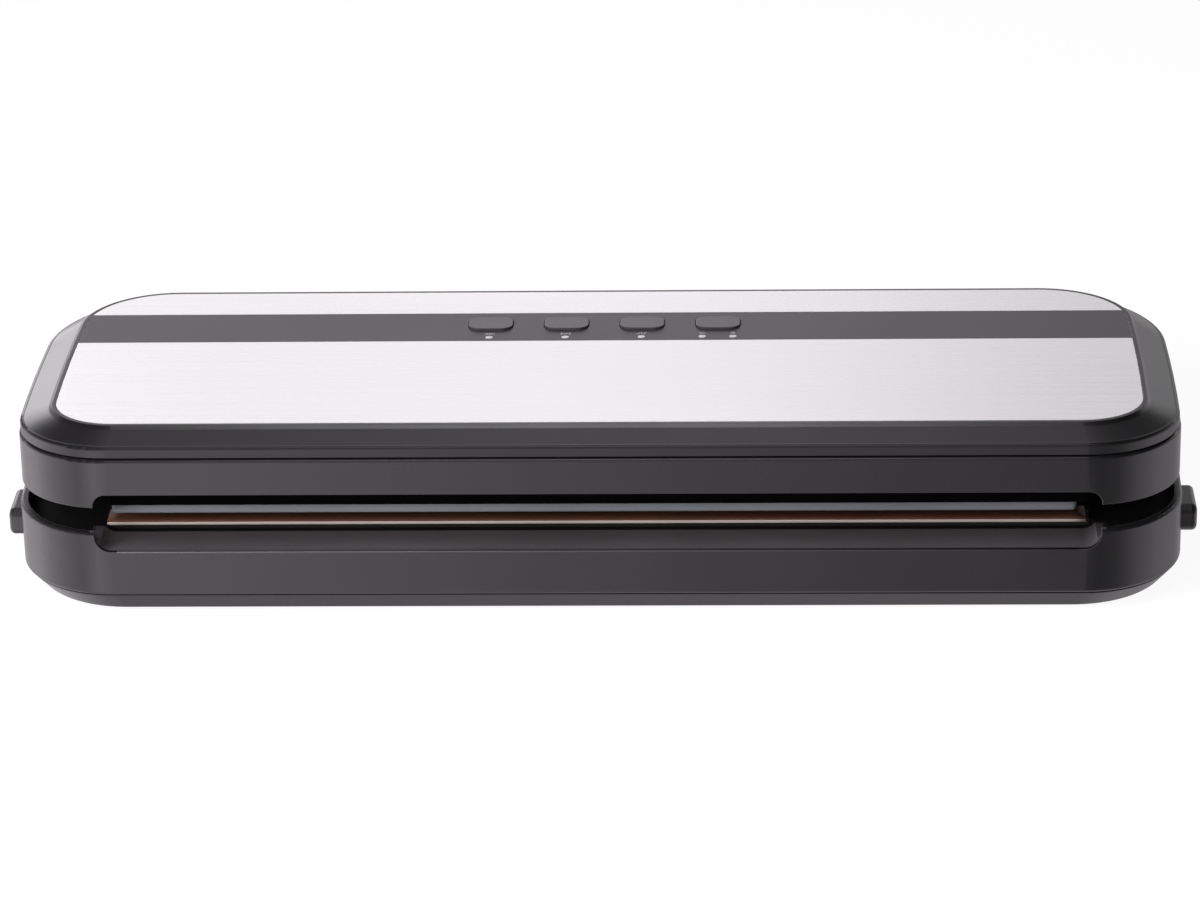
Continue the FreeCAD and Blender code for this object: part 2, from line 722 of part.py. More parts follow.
def power_stand_places():
    return [
        (x, y)
        for x in (POWER_X0 + STAND_MARGIN, POWER_X1 - STAND_MARGIN)
        for y in (POWER_Y0 + STAND_MARGIN, POWER_Y1 - STAND_MARGIN)
    ]


def foot_places():
    return [(x, y) for x in (-FOOT_X, FOOT_X) for y in (-FOOT_Y, FOOT_Y)]


def bottom_cover():
    pan_z = SEAM_Z - PAN_GAP
    inside = WALL + TONGUE_FIT + TONGUE_T
    shell = taper(outline(PAN_FOOT_INSET, FOOT_H, PAN_CORNERS), outline(PAN_INSET, pan_z))
    shell = rounded_at(shell, FOOT_H, PAN_ROUND)
    shell = shell.cut(taper(outline(PAN_FOOT_INSET + PAN_SIDE_T, INNER_FLOOR_Z, PAN_CORNERS), outline(inside, pan_z)))
    tongue = body_prism(WALL + TONGUE_FIT, pan_z - TONGUE_ROOT, SEAM_Z + BOTTOM_TONGUE_H)
    tongue = tongue.cut(body_prism(inside, pan_z - TONGUE_ROOT, SEAM_Z + BOTTOM_TONGUE_H))
    tongue = tongue.cut(gland_rod(GLAND_BODY_R + GLAND_BOSS + TONGUE_FIT, 0, GLAND_L))
    tongue = tongue.cut([
        post(BOSS_R + TONGUE_FIT, x, y, SEAM_Z, SEAM_Z + BOTTOM_TONGUE_H) for x, y in BASE_SCREWS
    ])
    added = [tongue]
    added += [post(BOSS_R, x, y, INNER_FLOOR_Z, SEAM_Z) for x, y in BASE_SCREWS]
    stand_z = INNER_FLOOR_Z + POWER_STAND
    added += [post(STAND_R, x, y, INNER_FLOOR_Z, stand_z) for x, y in power_stand_places()]
    shell = joined([shell] + added)
    cuts = [post(FOOT_R + FOOT_FIT, x, y, FOOT_H, FOOT_H + FOOT_SINK) for x, y in foot_places()]
    for x, y in BASE_SCREWS:
        cuts.append(post(HEAD_R + HEAD_FIT, x, y, FOOT_H, FOOT_H + HEAD_SINK + HEAD_H))
        cuts.append(post(SCREW_R + SCREW_CLEAR, x, y, FOOT_H, SEAM_Z))
    vent_mid = (POWER_X0 + POWER_X1) / 2
    for i in range(VENT_COUNT):
        x = vent_mid + (i - (VENT_COUNT - 1) / 2) * VENT_PITCH
        cuts.append(centred_box(x, (POWER_Y0 + POWER_Y1) / 2, VENT_W, VENT_L, FOOT_H, INNER_FLOOR_Z))
    return shell.cut(cuts)


def rubber_feet():
    return Part.makeCompound([post(FOOT_R, x, y, 0, FOOT_H + FOOT_SINK) for x, y in foot_places()])


def base_screws():
    head_z = FOOT_H + HEAD_SINK + HEAD_H
    return Part.makeCompound([screw(x, y, head_z, SEAM_Z + SCREW_BITE) for x, y in BASE_SCREWS])


def seal_bar():
    return bar_block(0, BAR_BED_Z, BAR_TOP_Z)


def heating_band():
    return centred_box(0, SEAL_Y, 2 * BAR_HALF_L, BAND_W, BAR_TOP_Z, BAR_TOP_Z + BAND_T)


def release_tape():
    """Thin cover over the band, bearing on the bar at both sides of it."""
    tape = box(-BAR_HALF_L, BAR_HALF_L, BAR_FRONT_Y, SEAL_Y + BAR_W / 2, BAR_TOP_Z, TAPE_TOP_Z)
    return tape.cut(heating_band())


def lower_gasket():
    return gasket_ring(DECK_Z - GASKET_GROOVE, LOWER_GASKET_TOP)


def suction_nozzle(x):
    """Flanged elbow through the trough floor, ending in a barb towards the rear."""
    top_z = TROUGH_Z + NOZZLE_FLANGE_T
    barb_end = NOZZLE_Y + NOZZLE_STEM_R + BARB_L
    along = Vector(0, 1, 0)
    start = Vector(x, NOZZLE_Y, NOZZLE_Z)
    solid = joined([
        post(NOZZLE_STEM_R, x, NOZZLE_Y, NOZZLE_Z - NOZZLE_STEM_R, top_z),
        post(NOZZLE_FLANGE_R, x, NOZZLE_Y, TROUGH_Z, top_z),
        rod(NOZZLE_R, start, along, barb_end - NOZZLE_Y),
    ])
    down_bore = post(NOZZLE_BORE, x, NOZZLE_Y, NOZZLE_Z, top_z)
    barb_bore = rod(NOZZLE_BORE, start, along, barb_end - NOZZLE_Y)
    return solid.cut([down_bore, barb_bore])


def suction_nozzles():
    return Part.makeCompound([suction_nozzle(x) for x in (PUMP_X, VALVE_X)])


PUMP_FACE_Y = PUMP_Y - PUMP_BOX / 2
HEAD_FACE_Y = PUMP_FACE_Y - PUMP_HEAD_T


def hose_path(x):
    """Level run off the nozzle, a double bend upwards, and a level run onto the pump's inlet."""
    y0 = NOZZLE_Y + NOZZLE_STEM_R + HOSE_GAP
    y1 = y0 - HOSE_GAP + BARB_L + HOSE_GRIP
    y2 = HEAD_FACE_Y - BARB_L - HOSE_GRIP
    y3 = HEAD_FACE_Y - HOSE_GAP
    run = y2 - y1
    rise = PUMP_Z - NOZZLE_Z
    radius = (run ** 2 + rise ** 2) / (4 * rise)
    half_turn = math.atan2(rise, run)
    ease_y = radius * math.sin(half_turn)
    ease_z = radius * (1 - math.cos(half_turn))
    mid = Vector(x, (y1 + y2) / 2, (NOZZLE_Z + PUMP_Z) / 2)
    return Part.Wire([
        Part.LineSegment(Vector(x, y0, NOZZLE_Z), Vector(x, y1, NOZZLE_Z)).toShape(),
        arc(Vector(x, y1, NOZZLE_Z), Vector(x, y1 + ease_y, NOZZLE_Z + ease_z), mid),
        arc(mid, Vector(x, y2 - ease_y, PUMP_Z - ease_z), Vector(x, y2, PUMP_Z)),
        Part.LineSegment(Vector(x, y2, PUMP_Z), Vector(x, y3, PUMP_Z)).toShape(),
    ])


def hose(x):
    path = hose_path(x)
    start = path.Vertexes[0].Point

    def tube(radius):
        ring = Part.Wire(Part.makeCircle(radius, start, Vector(0, 1, 0)))
        return path.makePipeShell([ring], True, False)

    return tube(NOZZLE_R + HOSE_T).cut(tube(NOZZLE_R))


def suction_hoses():
    return Part.makeCompound([hose(x) for x in (PUMP_X, VALVE_X)])


def pump_axis_rod(radius, x0, x1, y=PUMP_Y):
    return rod(radius, Vector(x0, y, PUMP_Z), Vector(1, 0, 0), x1 - x0)


PUMP_X0 = PUMP_X - PUMP_W / 2
PUMP_X1 = PUMP_X + PUMP_W / 2


def pump_motor():
    can = pump_axis_rod(MOTOR_R, PUMP_X0 - MOTOR_L, PUMP_X0)
    return can.cut(pump_axis_rod(SHAFT_R + SHAFT_RUN, PUMP_X0 - SHAFT_SINK, PUMP_X0))


def pump_housing():
    half = PUMP_BOX / 2
    block = box(PUMP_X0, PUMP_X1, PUMP_FACE_Y, PUMP_Y + half, PUMP_Z - half, PUMP_Z + half)
    chamber = pump_axis_rod(PUMP_BORE_R, PUMP_X0 + PUMP_END_WALL, PUMP_X1)
    shaft_hole = pump_axis_rod(SHAFT_R + SHAFT_RUN, PUMP_X0, PUMP_X1)
    port = rod(DIAPHRAGM_R - DIAPHRAGM_RIM, Vector(PUMP_X, PUMP_FACE_Y, PUMP_Z), Vector(0, 1, 0), half)
    return block.cut([chamber, shaft_hole, port])


def pump_head():
    """Valve cover over the diaphragm, with the inlet barb."""
    half = PUMP_BOX / 2
    forward = Vector(0, -1, 0)
    plate = box(PUMP_X0, PUMP_X1, HEAD_FACE_Y, PUMP_FACE_Y, PUMP_Z - half, PUMP_Z + half)
    barb = rod(NOZZLE_R, Vector(PUMP_X, HEAD_FACE_Y, PUMP_Z), forward, BARB_L)
    seat = rod(DIAPHRAGM_R + DIAPHRAGM_FIT, Vector(PUMP_X, PUMP_FACE_Y, PUMP_Z), forward, DIAPHRAGM_T)
    bore = rod(NOZZLE_BORE, Vector(PUMP_X, PUMP_FACE_Y, PUMP_Z), forward, PUMP_HEAD_T + BARB_L)
    return joined([plate, barb]).cut([seat, bore])


def pump_diaphragm():
    return rod(DIAPHRAGM_R, Vector(PUMP_X, PUMP_FACE_Y, PUMP_Z), Vector(0, -1, 0), DIAPHRAGM_T)


def pump_shaft():
    """Motor shaft with the cam that drives the yoke."""
    shaft = pump_axis_rod(SHAFT_R, PUMP_X0 - SHAFT_SINK, PUMP_X + SHAFT_END)
    cam = pump_axis_rod(CAM_R, PUMP_X - CAM_T / 2, PUMP_X + CAM_T / 2, PUMP_Y + CAM_OFFSET)
    return joined([shaft, cam])


def pump_yoke():
    """Ring round the cam with the push rod to the diaphragm."""
    inner = CAM_R + CAM_OFFSET + YOKE_GAP
    push = rod(YOKE_ROD_R, Vector(PUMP_X, PUMP_FACE_Y, PUMP_Z), Vector(0, 1, 0), PUMP_BOX / 2 - inner)
    ring = pump_axis_rod(inner + YOKE_T, PUMP_X - YOKE_W / 2, PUMP_X + YOKE_W / 2)
    return joined([ring, push]).cut(pump_axis_rod(inner, PUMP_X - YOKE_W / 2, PUMP_X + YOKE_W / 2))


def motor_saddles():
    saddles = []
    for x in (PUMP_X0 - SADDLE_MARGIN, PUMP_X0 - MOTOR_L + SADDLE_MARGIN + SADDLE_T):
        block = centred_box(
            x - SADDLE_T / 2, PUMP_Y, SADDLE_T, SADDLE_W, INNER_FLOOR_Z, PUMP_Z - SADDLE_BELOW)
        saddles.append(block.cut(pump_axis_rod(MOTOR_R, x - SADDLE_T, x)))
    return Part.makeCompound(saddles)


def vent_valve():
    body = box(
        VALVE_X - VALVE_W / 2, VALVE_X + VALVE_W / 2, HEAD_FACE_Y, HEAD_FACE_Y + VALVE_D,
        INNER_FLOOR_Z, INNER_FLOOR_Z + VALVE_H)
    forward = Vector(0, -1, 0)
    face = Vector(VALVE_X, HEAD_FACE_Y, PUMP_Z)
    return joined([body, rod(NOZZLE_R, face, forward, BARB_L)]).cut(rod(NOZZLE_BORE, face, forward, BARB_L))


def power_board():
    return box(POWER_X0, POWER_X1, POWER_Y0, POWER_Y1, POWER_TOP_Z - POWER_T, POWER_TOP_Z)


def choke_coil():
    core = centred_box(COIL_X, COIL_Y, COIL_W, COIL_D, POWER_TOP_Z, POWER_TOP_Z + COIL_H)
    waist_z0 = POWER_TOP_Z + COIL_FLANGE_T
    waist_z1 = POWER_TOP_Z + COIL_H - COIL_FLANGE_T
    waist = centred_box(COIL_X, COIL_Y, COIL_W - 2 * COIL_INSET, COIL_D - 2 * COIL_INSET, waist_z0, waist_z1)
    ring = centred_box(COIL_X, COIL_Y, COIL_W, COIL_D, waist_z0, waist_z1)
    return core.cut(ring.cut(waist))


def capacitors():
    return Part.makeCompound([
        post(CAP_R, CAP_X + i * CAP_PITCH, CAP_Y, POWER_TOP_Z, POWER_TOP_Z + CAP_H) for i in range(CAP_COUNT)
    ])


def heat_sink():
    z1 = POWER_TOP_Z + SINK_H
    plate = centred_box(SINK_X, SINK_Y, SINK_W, SINK_T, POWER_TOP_Z, z1)
    fins = []
    for i in range(FIN_COUNT):
        x = SINK_X + (i - (FIN_COUNT - 1) / 2) * FIN_PITCH
        fins.append(centred_box(x, SINK_Y + SINK_T / 2 + FIN_L / 2, FIN_T, FIN_L, POWER_TOP_Z, z1))
    return joined([plate] + fins)


def cord_gland():
    solid = joined([gland_rod(GLAND_BODY_R, 0, GLAND_L), gland_rod(GLAND_FLANGE_R, 0, GLAND_FLANGE_T)])
    return solid.cut(gland_rod(GLAND_BORE_R, 0, GLAND_L))


def hinge_pins():
    reach = KNUCKLE_W / 2 + HINGE_SIDE_GAP + EAR_T
    return Part.makeCompound([hinge_rod(PIN_R, x - reach, x + reach) for x in (-HINGE_X, HINGE_X)])


def release_button():
    """Right-hand button: outer cap, stop flange, and the latch plate with its window round the hook."""
    face_x = BODY_W / 2 + RELEASE_PROUD
    cap = release_block(0, FLANGE_IN_X, face_x)
    cap = cap.makeFillet(RELEASE_FACE_ROUND, [e for e in cap.Edges if abs(e.BoundBox.XMin - face_x) < 1e-6])
    half_l = RELEASE_L / 2 + RELEASE_LIP
    half_h = RELEASE_H / 2 + RELEASE_LIP
    flange = box(
        FLANGE_IN_X, FLANGE_OUT_X, RELEASE_Y - half_l, RELEASE_Y + half_l,
        RELEASE_Z - half_h, RELEASE_Z + half_h)
    z0 = RELEASE_Z - LATCH_T / 2
    z1 = RELEASE_Z + LATCH_T / 2
    plate = box(LATCH_X, FLANGE_IN_X, RELEASE_Y - LATCH_W / 2, RELEASE_Y + LATCH_W / 2, z0, z1)
    gap = HOOK_W / 2 + HOOK_SIDE_CLEAR
    plate = plate.cut(box(WINDOW_X, FLANGE_IN_X, RELEASE_Y - gap, RELEASE_Y + gap, z0, z1))
    seat = box(
        LATCH_X, LATCH_X + SPRING_SEAT_T, RELEASE_Y - LATCH_W / 2, RELEASE_Y + LATCH_W / 2,
        RELEASE_Z - SPRING_SEAT_H / 2, RELEASE_Z + SPRING_SEAT_H / 2)
    peg = rod(SPRING_PEG_R, Vector(LATCH_X, RELEASE_Y, RELEASE_Z), Vector(-1, 0, 0), SPRING_PEG_L)
    return joined([cap, flange, plate, seat, peg])


def release_spring():
    """Compression coil between the latch plate and the stop under the deck."""
    length = SPRING_L - 2 * (SPRING_FIT + SPRING_WIRE_R)
    coil_r = SPRING_R - SPRING_WIRE_R
    path = Part.Wire(Part.makeHelix(length / SPRING_TURNS, length, coil_r).Edges)
    ring = Part.Wire(Part.makeCircle(SPRING_WIRE_R, Vector(coil_r, 0, 0), Vector(0, 1, 0)))
    coil = path.makePipeShell([ring], True, True)
    coil.rotate(Vector(0, 0, 0), Vector(0, 1, 0), 90)
    coil.translate(Vector(SPRING_STOP_X + SPRING_FIT + SPRING_WIRE_R, RELEASE_Y, RELEASE_Z))
    return coil


def lid_switches():
    """Two switches on the floor that the ends of the lid hooks come down to."""
    x = HOOK_OUT_X - LID_SWITCH_W / 2
    pip_z = HOOK_END_Z - LID_SWITCH_CLEAR
    body = centred_box(x, RELEASE_Y, LID_SWITCH_W, LID_SWITCH_L, INNER_FLOOR_Z, pip_z - LID_SWITCH_PIP)
    right = joined([body, post(LID_SWITCH_PIP_R, x, RELEASE_Y, pip_z - LID_SWITCH_PIP, pip_z)])
    return Part.makeCompound([right, mirrored(right)])


def lid_hook():
    """Right-hand hook: foot on the liner, shank down through the deck, barb towards the middle."""
    y0 = RELEASE_Y - HOOK_W / 2
    y1 = RELEASE_Y + HOOK_W / 2
    foot = box(HOOK_OUT_X - HOOK_FOOT_L, HOOK_OUT_X, y0, y1, LINER_TOP_Z, LINER_TOP_Z + HOOK_FOOT_T)
    shank = box(HOOK_IN_X, HOOK_OUT_X, y0, y1, HOOK_END_Z, LINER_TOP_Z + HOOK_FOOT_T)
    barb = box(BARB_X, HOOK_IN_X, y0, y1, HOOK_END_Z, BARB_TOP_Z)
    return joined([foot, shank, barb])


def lid_frame():
    wall = body_prism(LID_INSET, LID_EDGE_Z, LID_SEAM_Z)
    wall = rounded_at(wall, LID_SEAM_Z, LID_SEAM_ROUND)
    wall = rounded_at(wall, LID_EDGE_Z, LID_EDGE_ROUND)
    wall = wall.cut(body_prism(LID_INSET + WALL, LID_EDGE_Z, LID_SEAM_Z))
    mid_wall = LID_INSET + WALL / 2
    slot_block = box(
        -SLOT_HALF - WALL, SLOT_HALF + WALL, -BODY_D / 2, HOLDER_FRONT_Y + WALL, LINER_Z, SLOT_CEILING_Z)
    holder = box(
        -HOLDER_HALF_L, HOLDER_HALF_L, HOLDER_FRONT_Y, PAD_REAR_Y + PAD_LIP,
        PAD_Z + PAD_SHOW, LINER_TOP_Z)
    added = [
        body_prism(mid_wall, LINER_Z, LINER_TOP_Z),
        slot_block.common(body_prism(mid_wall, LINER_Z, SLOT_CEILING_Z)),
        holder,
    ]
    added += [post(BOSS_R, x, y, LINER_Z, LINER_TOP_Z + LINER_PAD_H) for x, y in LID_SCREWS]
    added += [hinge_lug(x - KNUCKLE_W / 2, x + KNUCKLE_W / 2, LINER_TOP_Z) for x in (-HINGE_X, HINGE_X)]
    shell = joined([wall] + added)

    hook_hole = box(
        HOOK_IN_X - HOOK_SEAT_FIT, HOOK_OUT_X + HOOK_SEAT_FIT,
        RELEASE_Y - HOOK_W / 2 - HOOK_SEAT_FIT, RELEASE_Y + HOOK_W / 2 + HOOK_SEAT_FIT, LINER_Z, LINER_TOP_Z)
    cuts = [
        slot_prism(SLOT_HALF, DECK_Z, NOTCH_TOP_Z, NOTCH_CORNER, -BODY_D, HOLDER_FRONT_Y),
        seal_pad(),
        hook_hole,
        mirrored(hook_hole),
    ]
    for x0, x1 in ear_spans():
        cuts.append(box(
            x0 - HINGE_SIDE_GAP, x1 + HINGE_SIDE_GAP, HINGE_Y - KNUCKLE_R - EAR_CLEAR, BODY_D,
            DECK_Z, HINGE_Z + KNUCKLE_R + EAR_CLEAR))
    cuts += [hinge_rod(PIN_R + HINGE_RUN, x - KNUCKLE_W / 2, x + KNUCKLE_W / 2) for x in (-HINGE_X, HINGE_X)]
    for x, y in LID_SCREWS:
        cuts.append(post(HEAD_R + HEAD_FIT, x, y, LINER_Z, LINER_Z + HEAD_SINK + HEAD_H))
        cuts.append(post(SCREW_R + SCREW_CLEAR, x, y, LINER_Z, LINER_TOP_Z + LINER_PAD_H))
    return shell.cut(cuts)


def lid_screws():
    head_z = LINER_Z + HEAD_SINK + HEAD_H
    top_z = LINER_TOP_Z + LINER_PAD_H + SCREW_BITE
    return Part.makeCompound([screw(x, y, head_z, top_z) for x, y in LID_SCREWS])


def board_post_places():
    half_w = BOARD_W / 2 - POST_MARGIN
    half_d = BOARD_D / 2 - POST_MARGIN
    return [(x, y) for x in (-half_w, half_w) for y in (BOARD_Y - half_d, BOARD_Y + half_d)]


def button_block(x, grow, z0, z1):
    half_w = BUTTON_W / 2 + grow
    half_d = BUTTON_D / 2 + grow
    return round_box(
        x - half_w, x + half_w, BUTTON_Y - half_d, BUTTON_Y + half_d, z0, z1, BUTTON_CORNER + grow)


def lens_block(x, grow, z0, z1):
    half_w = LENS_W / 2 + grow
    half_d = LENS_D / 2 + grow
    return round_box(x - half_w, x + half_w, LENS_Y - half_d, LENS_Y + half_d, z0, z1, LENS_CORNER + grow)


def lid_top_cover():
    bead_z = COVER_Z + BEAD_H
    lip_z = LID_TOP_Z - LIP_H
    bead = rounded_at(body_prism(COVER_INSET, COVER_Z, bead_z), bead_z, BEAD_ROUND)
    foot = outline(COVER_INSET + BEAD_LEDGE, bead_z)
    brow = outline(BEVEL_INSET, lip_z, FIELD_CORNERS)
    lip = outline(LIP_INSET, LID_TOP_Z, FIELD_CORNERS)
    outer = joined([bead, taper(foot, brow), taper(brow, lip)])
    hollow = taper(
        outline(COVER_INSET + WALL, COVER_Z), outline(LIP_INSET, COVER_UNDER_Z, FIELD_CORNERS))
    outer = outer.cut([hollow, body_prism(PLATE_INSET, PLATE_FLOOR_Z, LID_TOP_Z, FIELD_CORNERS)])
    tongue_out = LID_INSET + WALL + TONGUE_FIT
    tongue = body_prism(tongue_out, COVER_Z - TONGUE_H, COVER_Z + TONGUE_ROOT)
    tongue = tongue.cut(body_prism(tongue_out + TONGUE_T, COVER_Z - TONGUE_H, COVER_Z + TONGUE_ROOT))
    boss_z = LINER_TOP_Z + LINER_PAD_H
    root_z = COVER_UNDER_Z + COVER_T / 2
    added = [tongue]
    added += [post(BOSS_R, x, y, boss_z, root_z) for x, y in LID_SCREWS]
    added += [post(POST_R, x, y, BOARD_TOP_Z, root_z) for x, y in board_post_places()]
    shell = joined([outer] + added)
    cuts = [post(SCREW_R, x, y, boss_z, boss_z + SCREW_BITE) for x, y in LID_SCREWS]
    cuts += [post(SCREW_R, x, y, BOARD_TOP_Z, BOARD_TOP_Z + BOARD_BITE) for x, y in board_post_places()]
    cuts += [button_block(x, FLANGE_LIP + FLANGE_FIT, COVER_UNDER_Z, PLATE_FLOOR_Z) for x in BUTTON_XS]
    cuts += [lens_block(x, LENS_FIT, COVER_UNDER_Z, PLATE_FLOOR_Z) for x in LENS_XS]
    return shell.cut(cuts)


def top_strip(y0, y1):
    """Slice of the sunk top field between two depths."""
    field = body_prism(PLATE_INSET + PLATE_FIT, PLATE_FLOOR_Z, LID_TOP_Z, FIELD_CORNERS)
    return field.common(box(-BODY_W, BODY_W, y0, y1, PLATE_FLOOR_Z, LID_TOP_Z))


def steel_plate_front():
    return top_strip(-BODY_D, STRIP_FRONT - PLATE_FIT)


def steel_plate_rear():
    return top_strip(STRIP_REAR + PLATE_FIT, BODY_D)


def control_panel():
    cuts = [button_block(x, BUTTON_FIT, PLATE_FLOOR_Z, LID_TOP_Z) for x in BUTTON_XS]
    cuts += [lens_block(x, LENS_FIT, PLATE_FLOOR_Z, LID_TOP_Z) for x in LENS_XS]
    return top_strip(STRIP_FRONT, STRIP_REAR).cut(cuts)


def push_button(x):
    """Cap that stands proud at its front edge, on a retaining flange and a short stem."""
    front = BUTTON_Y - BUTTON_D / 2
    rear = BUTTON_Y + BUTTON_D / 2
    high = LID_TOP_Z + BUTTON_FRONT_H
    low = LID_TOP_Z + BUTTON_REAR_H
    base_z = FLANGE_TOP_Z - FLANGE_T
    section = ((front, base_z), (rear, base_z), (rear, low), (front, high))
    side = [Vector(x - BUTTON_W, y, z) for y, z in section]
    wedge = Part.Face(Part.makePolygon(side + side[:1])).extrude(Vector(2 * BUTTON_W, 0, 0))
    cap = button_block(x, 0, base_z, high).common(wedge)
    flange = button_block(x, FLANGE_LIP, base_z, FLANGE_TOP_Z)
    return joined([cap, flange, post(STEM_R, x, BUTTON_Y, STEM_END_Z, base_z)])


def switch_plunger(x):
    return post(PLUNGER_R, x, BUTTON_Y, SWITCH_TOP_Z - PLUNGER_SINK, STEM_END_Z)


def key_switches():
    well_z = SWITCH_TOP_Z - PLUNGER_SINK - BUTTON_TRAVEL - PLUNGER_FIT
    bodies = []
    for x in BUTTON_XS:
        body = centred_box(x, BUTTON_Y, SWITCH_W, SWITCH_W, BOARD_TOP_Z, SWITCH_TOP_Z)
        bodies.append(body.cut(post(PLUNGER_R + PLUNGER_FIT, x, BUTTON_Y, well_z, SWITCH_TOP_Z)))
    return Part.makeCompound(bodies)


def indicator_lenses():
    z0 = BOARD_TOP_Z + LAMP_H + LAMP_GAP
    return Part.makeCompound([lens_block(x, 0, z0, LID_TOP_Z + LENS_PROUD) for x in LENS_XS])


def indicator_lamps():
    return Part.makeCompound([
        centred_box(x, LENS_Y, LAMP_W, LAMP_D, BOARD_TOP_Z, BOARD_TOP_Z + LAMP_H) for x in LENS_XS
    ])


def control_board():
    board = centred_box(0, BOARD_Y, BOARD_W, BOARD_D, BOARD_TOP_Z - BOARD_T, BOARD_TOP_Z)
    return board.cut([
        post(SCREW_R + SCREW_CLEAR, x, y, BOARD_TOP_Z - BOARD_T, BOARD_TOP_Z) for x, y in board_post_places()
    ])


def board_screws():
    head_z = BOARD_TOP_Z - BOARD_T
    return Part.makeCompound([screw(x, y, head_z, BOARD_TOP_Z + BOARD_BITE) for x, y in board_post_places()])


def seal_pad():
    return box(-PAD_HALF_L, PAD_HALF_L, PAD_FRONT_Y, PAD_REAR_Y, PAD_Z, PAD_Z + PAD_H)


def upper_gasket():
    return gasket_ring(LOWER_GASKET_TOP + GASKET_MEET, LINER_Z)


def base_pieces():
    right_button = release_button()
    right_spring = release_spring()
    return {
        "base_housing": base_housing(),
        "chamber_deck": chamber_deck(),
        "trough_basin": trough_basin(),
        "bottom_cover": bottom_cover(),
        "rubber_feet": rubber_feet(),
        "base_screws": base_screws(),
        "seal_bar": seal_bar(),
        "heating_band": heating_band(),
        "release_tape": release_tape(),
        "lower_gasket": lower_gasket(),
        "suction_nozzles": suction_nozzles(),
        "suction_hoses": suction_hoses(),
        "pump_motor": pump_motor(),
        "pump_housing": pump_housing(),
        "pump_head": pump_head(),
        "pump_diaphragm": pump_diaphragm(),
        "pump_shaft": pump_shaft(),
        "pump_yoke": pump_yoke(),
        "motor_saddles": motor_saddles(),
        "vent_valve": vent_valve(),
        "power_board": power_board(),
        "choke_coil": choke_coil(),
        "capacitors": capacitors(),
        "heat_sink": heat_sink(),
        "cord_gland": cord_gland(),
        "hinge_pins": hinge_pins(),
        "lid_switches": lid_switches(),
        "release_button_right": right_button,
        "release_button_left": mirrored(right_button),
        "release_spring_right": right_spring,
        "release_spring_left": mirrored(right_spring),
    }


def lid_pieces():
    right_hook = lid_hook()
    pieces = {
        "lid_frame": lid_frame(),
        "lid_top_cover": lid_top_cover(),
        "steel_plate_front": steel_plate_front(),
        "steel_plate_rear": steel_plate_rear(),
        "control_panel": control_panel(),
        "indicator_lenses": indicator_lenses(),
        "indicator_lamps": indicator_lamps(),
        "control_board": control_board(),
        "board_screws": board_screws(),
        "key_switches": key_switches(),
        "seal_pad": seal_pad(),
        "upper_gasket": upper_gasket(),
        "lid_hook_right": right_hook,
        "lid_hook_left": mirrored(right_hook),
        "lid_screws": lid_screws(),
    }
    for name, x in zip(BUTTON_NAMES, BUTTON_XS):
        pieces[name] = push_button(x)
        pieces[name.replace("button", "plunger")] = switch_plunger(x)
    return {name: ajar(shape) for name, shape in pieces.items()}


def main():
    os.makedirs("parts", exist_ok=True)
    for name, shape in {**base_pieces(), **lid_pieces()}.items():
        shape.exportStep(os.path.join("parts", name + ".step"))
        state = "ok" if shape.isValid() else "BAD"
        print(name, len(shape.Solids), "solids", round(shape.Volume, 1), "mm3", state)


main()
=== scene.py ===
import json
import math
import bmesh
import bpy
from mathutils import Matrix, Vector, noise


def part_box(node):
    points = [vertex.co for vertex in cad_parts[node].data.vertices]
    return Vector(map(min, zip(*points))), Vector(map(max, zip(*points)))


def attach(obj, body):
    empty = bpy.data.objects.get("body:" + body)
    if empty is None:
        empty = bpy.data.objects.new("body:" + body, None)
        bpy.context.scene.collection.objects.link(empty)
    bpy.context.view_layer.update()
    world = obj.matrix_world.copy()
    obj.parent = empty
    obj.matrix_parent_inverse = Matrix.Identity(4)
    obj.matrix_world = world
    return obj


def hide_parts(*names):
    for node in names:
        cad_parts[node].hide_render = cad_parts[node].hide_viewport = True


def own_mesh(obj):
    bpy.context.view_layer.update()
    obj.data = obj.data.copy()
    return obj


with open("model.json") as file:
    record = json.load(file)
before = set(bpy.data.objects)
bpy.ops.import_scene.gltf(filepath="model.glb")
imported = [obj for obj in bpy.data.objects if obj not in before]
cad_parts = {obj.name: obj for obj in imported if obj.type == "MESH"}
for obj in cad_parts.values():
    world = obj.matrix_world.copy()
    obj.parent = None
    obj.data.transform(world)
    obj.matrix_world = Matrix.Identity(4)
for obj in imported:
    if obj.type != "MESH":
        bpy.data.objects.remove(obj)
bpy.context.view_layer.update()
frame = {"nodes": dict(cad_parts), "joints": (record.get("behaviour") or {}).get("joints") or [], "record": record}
mm = 0.001
solids = frame["nodes"]
print("frame loaded,", len(solids), "solids")


# The lid is stored a little open, so lid pieces are drawn shut and then swung up with it
hinge = next(j for j in frame["joints"] if j["name"] == "lid_hinge")
hingePoint = Vector(hinge["pos_m"])
ajarAngle = math.radians(-hinge["range_deg"][0])
swingUp = (
    Matrix.Translation(hingePoint)
    @ Matrix.Rotation(ajarAngle, 4, Vector(hinge["axis"]))
    @ Matrix.Translation(-hingePoint)
)
swingDown = swingUp.inverted()


def shutBox(node):
    points = [swingDown @ v.co for v in solids[node].data.vertices]
    low = Vector([min(p[i] for p in points) for i in range(3)])
    high = Vector([max(p[i] for p in points) for i in range(3)])
    return low, high


# Small helpers for node trees
def put(tree, kind, settings=None, **sockets):
    node = tree.nodes.new("ShaderNode" + kind)
    for key, value in (settings or {}).items():
        setattr(node, key, value)
    for key, value in sockets.items():
        socket = node.inputs[key.replace("_", " ")]
        if isinstance(value, bpy.types.NodeSocket):
            tree.links.new(value, socket)
        else:
            socket.default_value = value
    return node


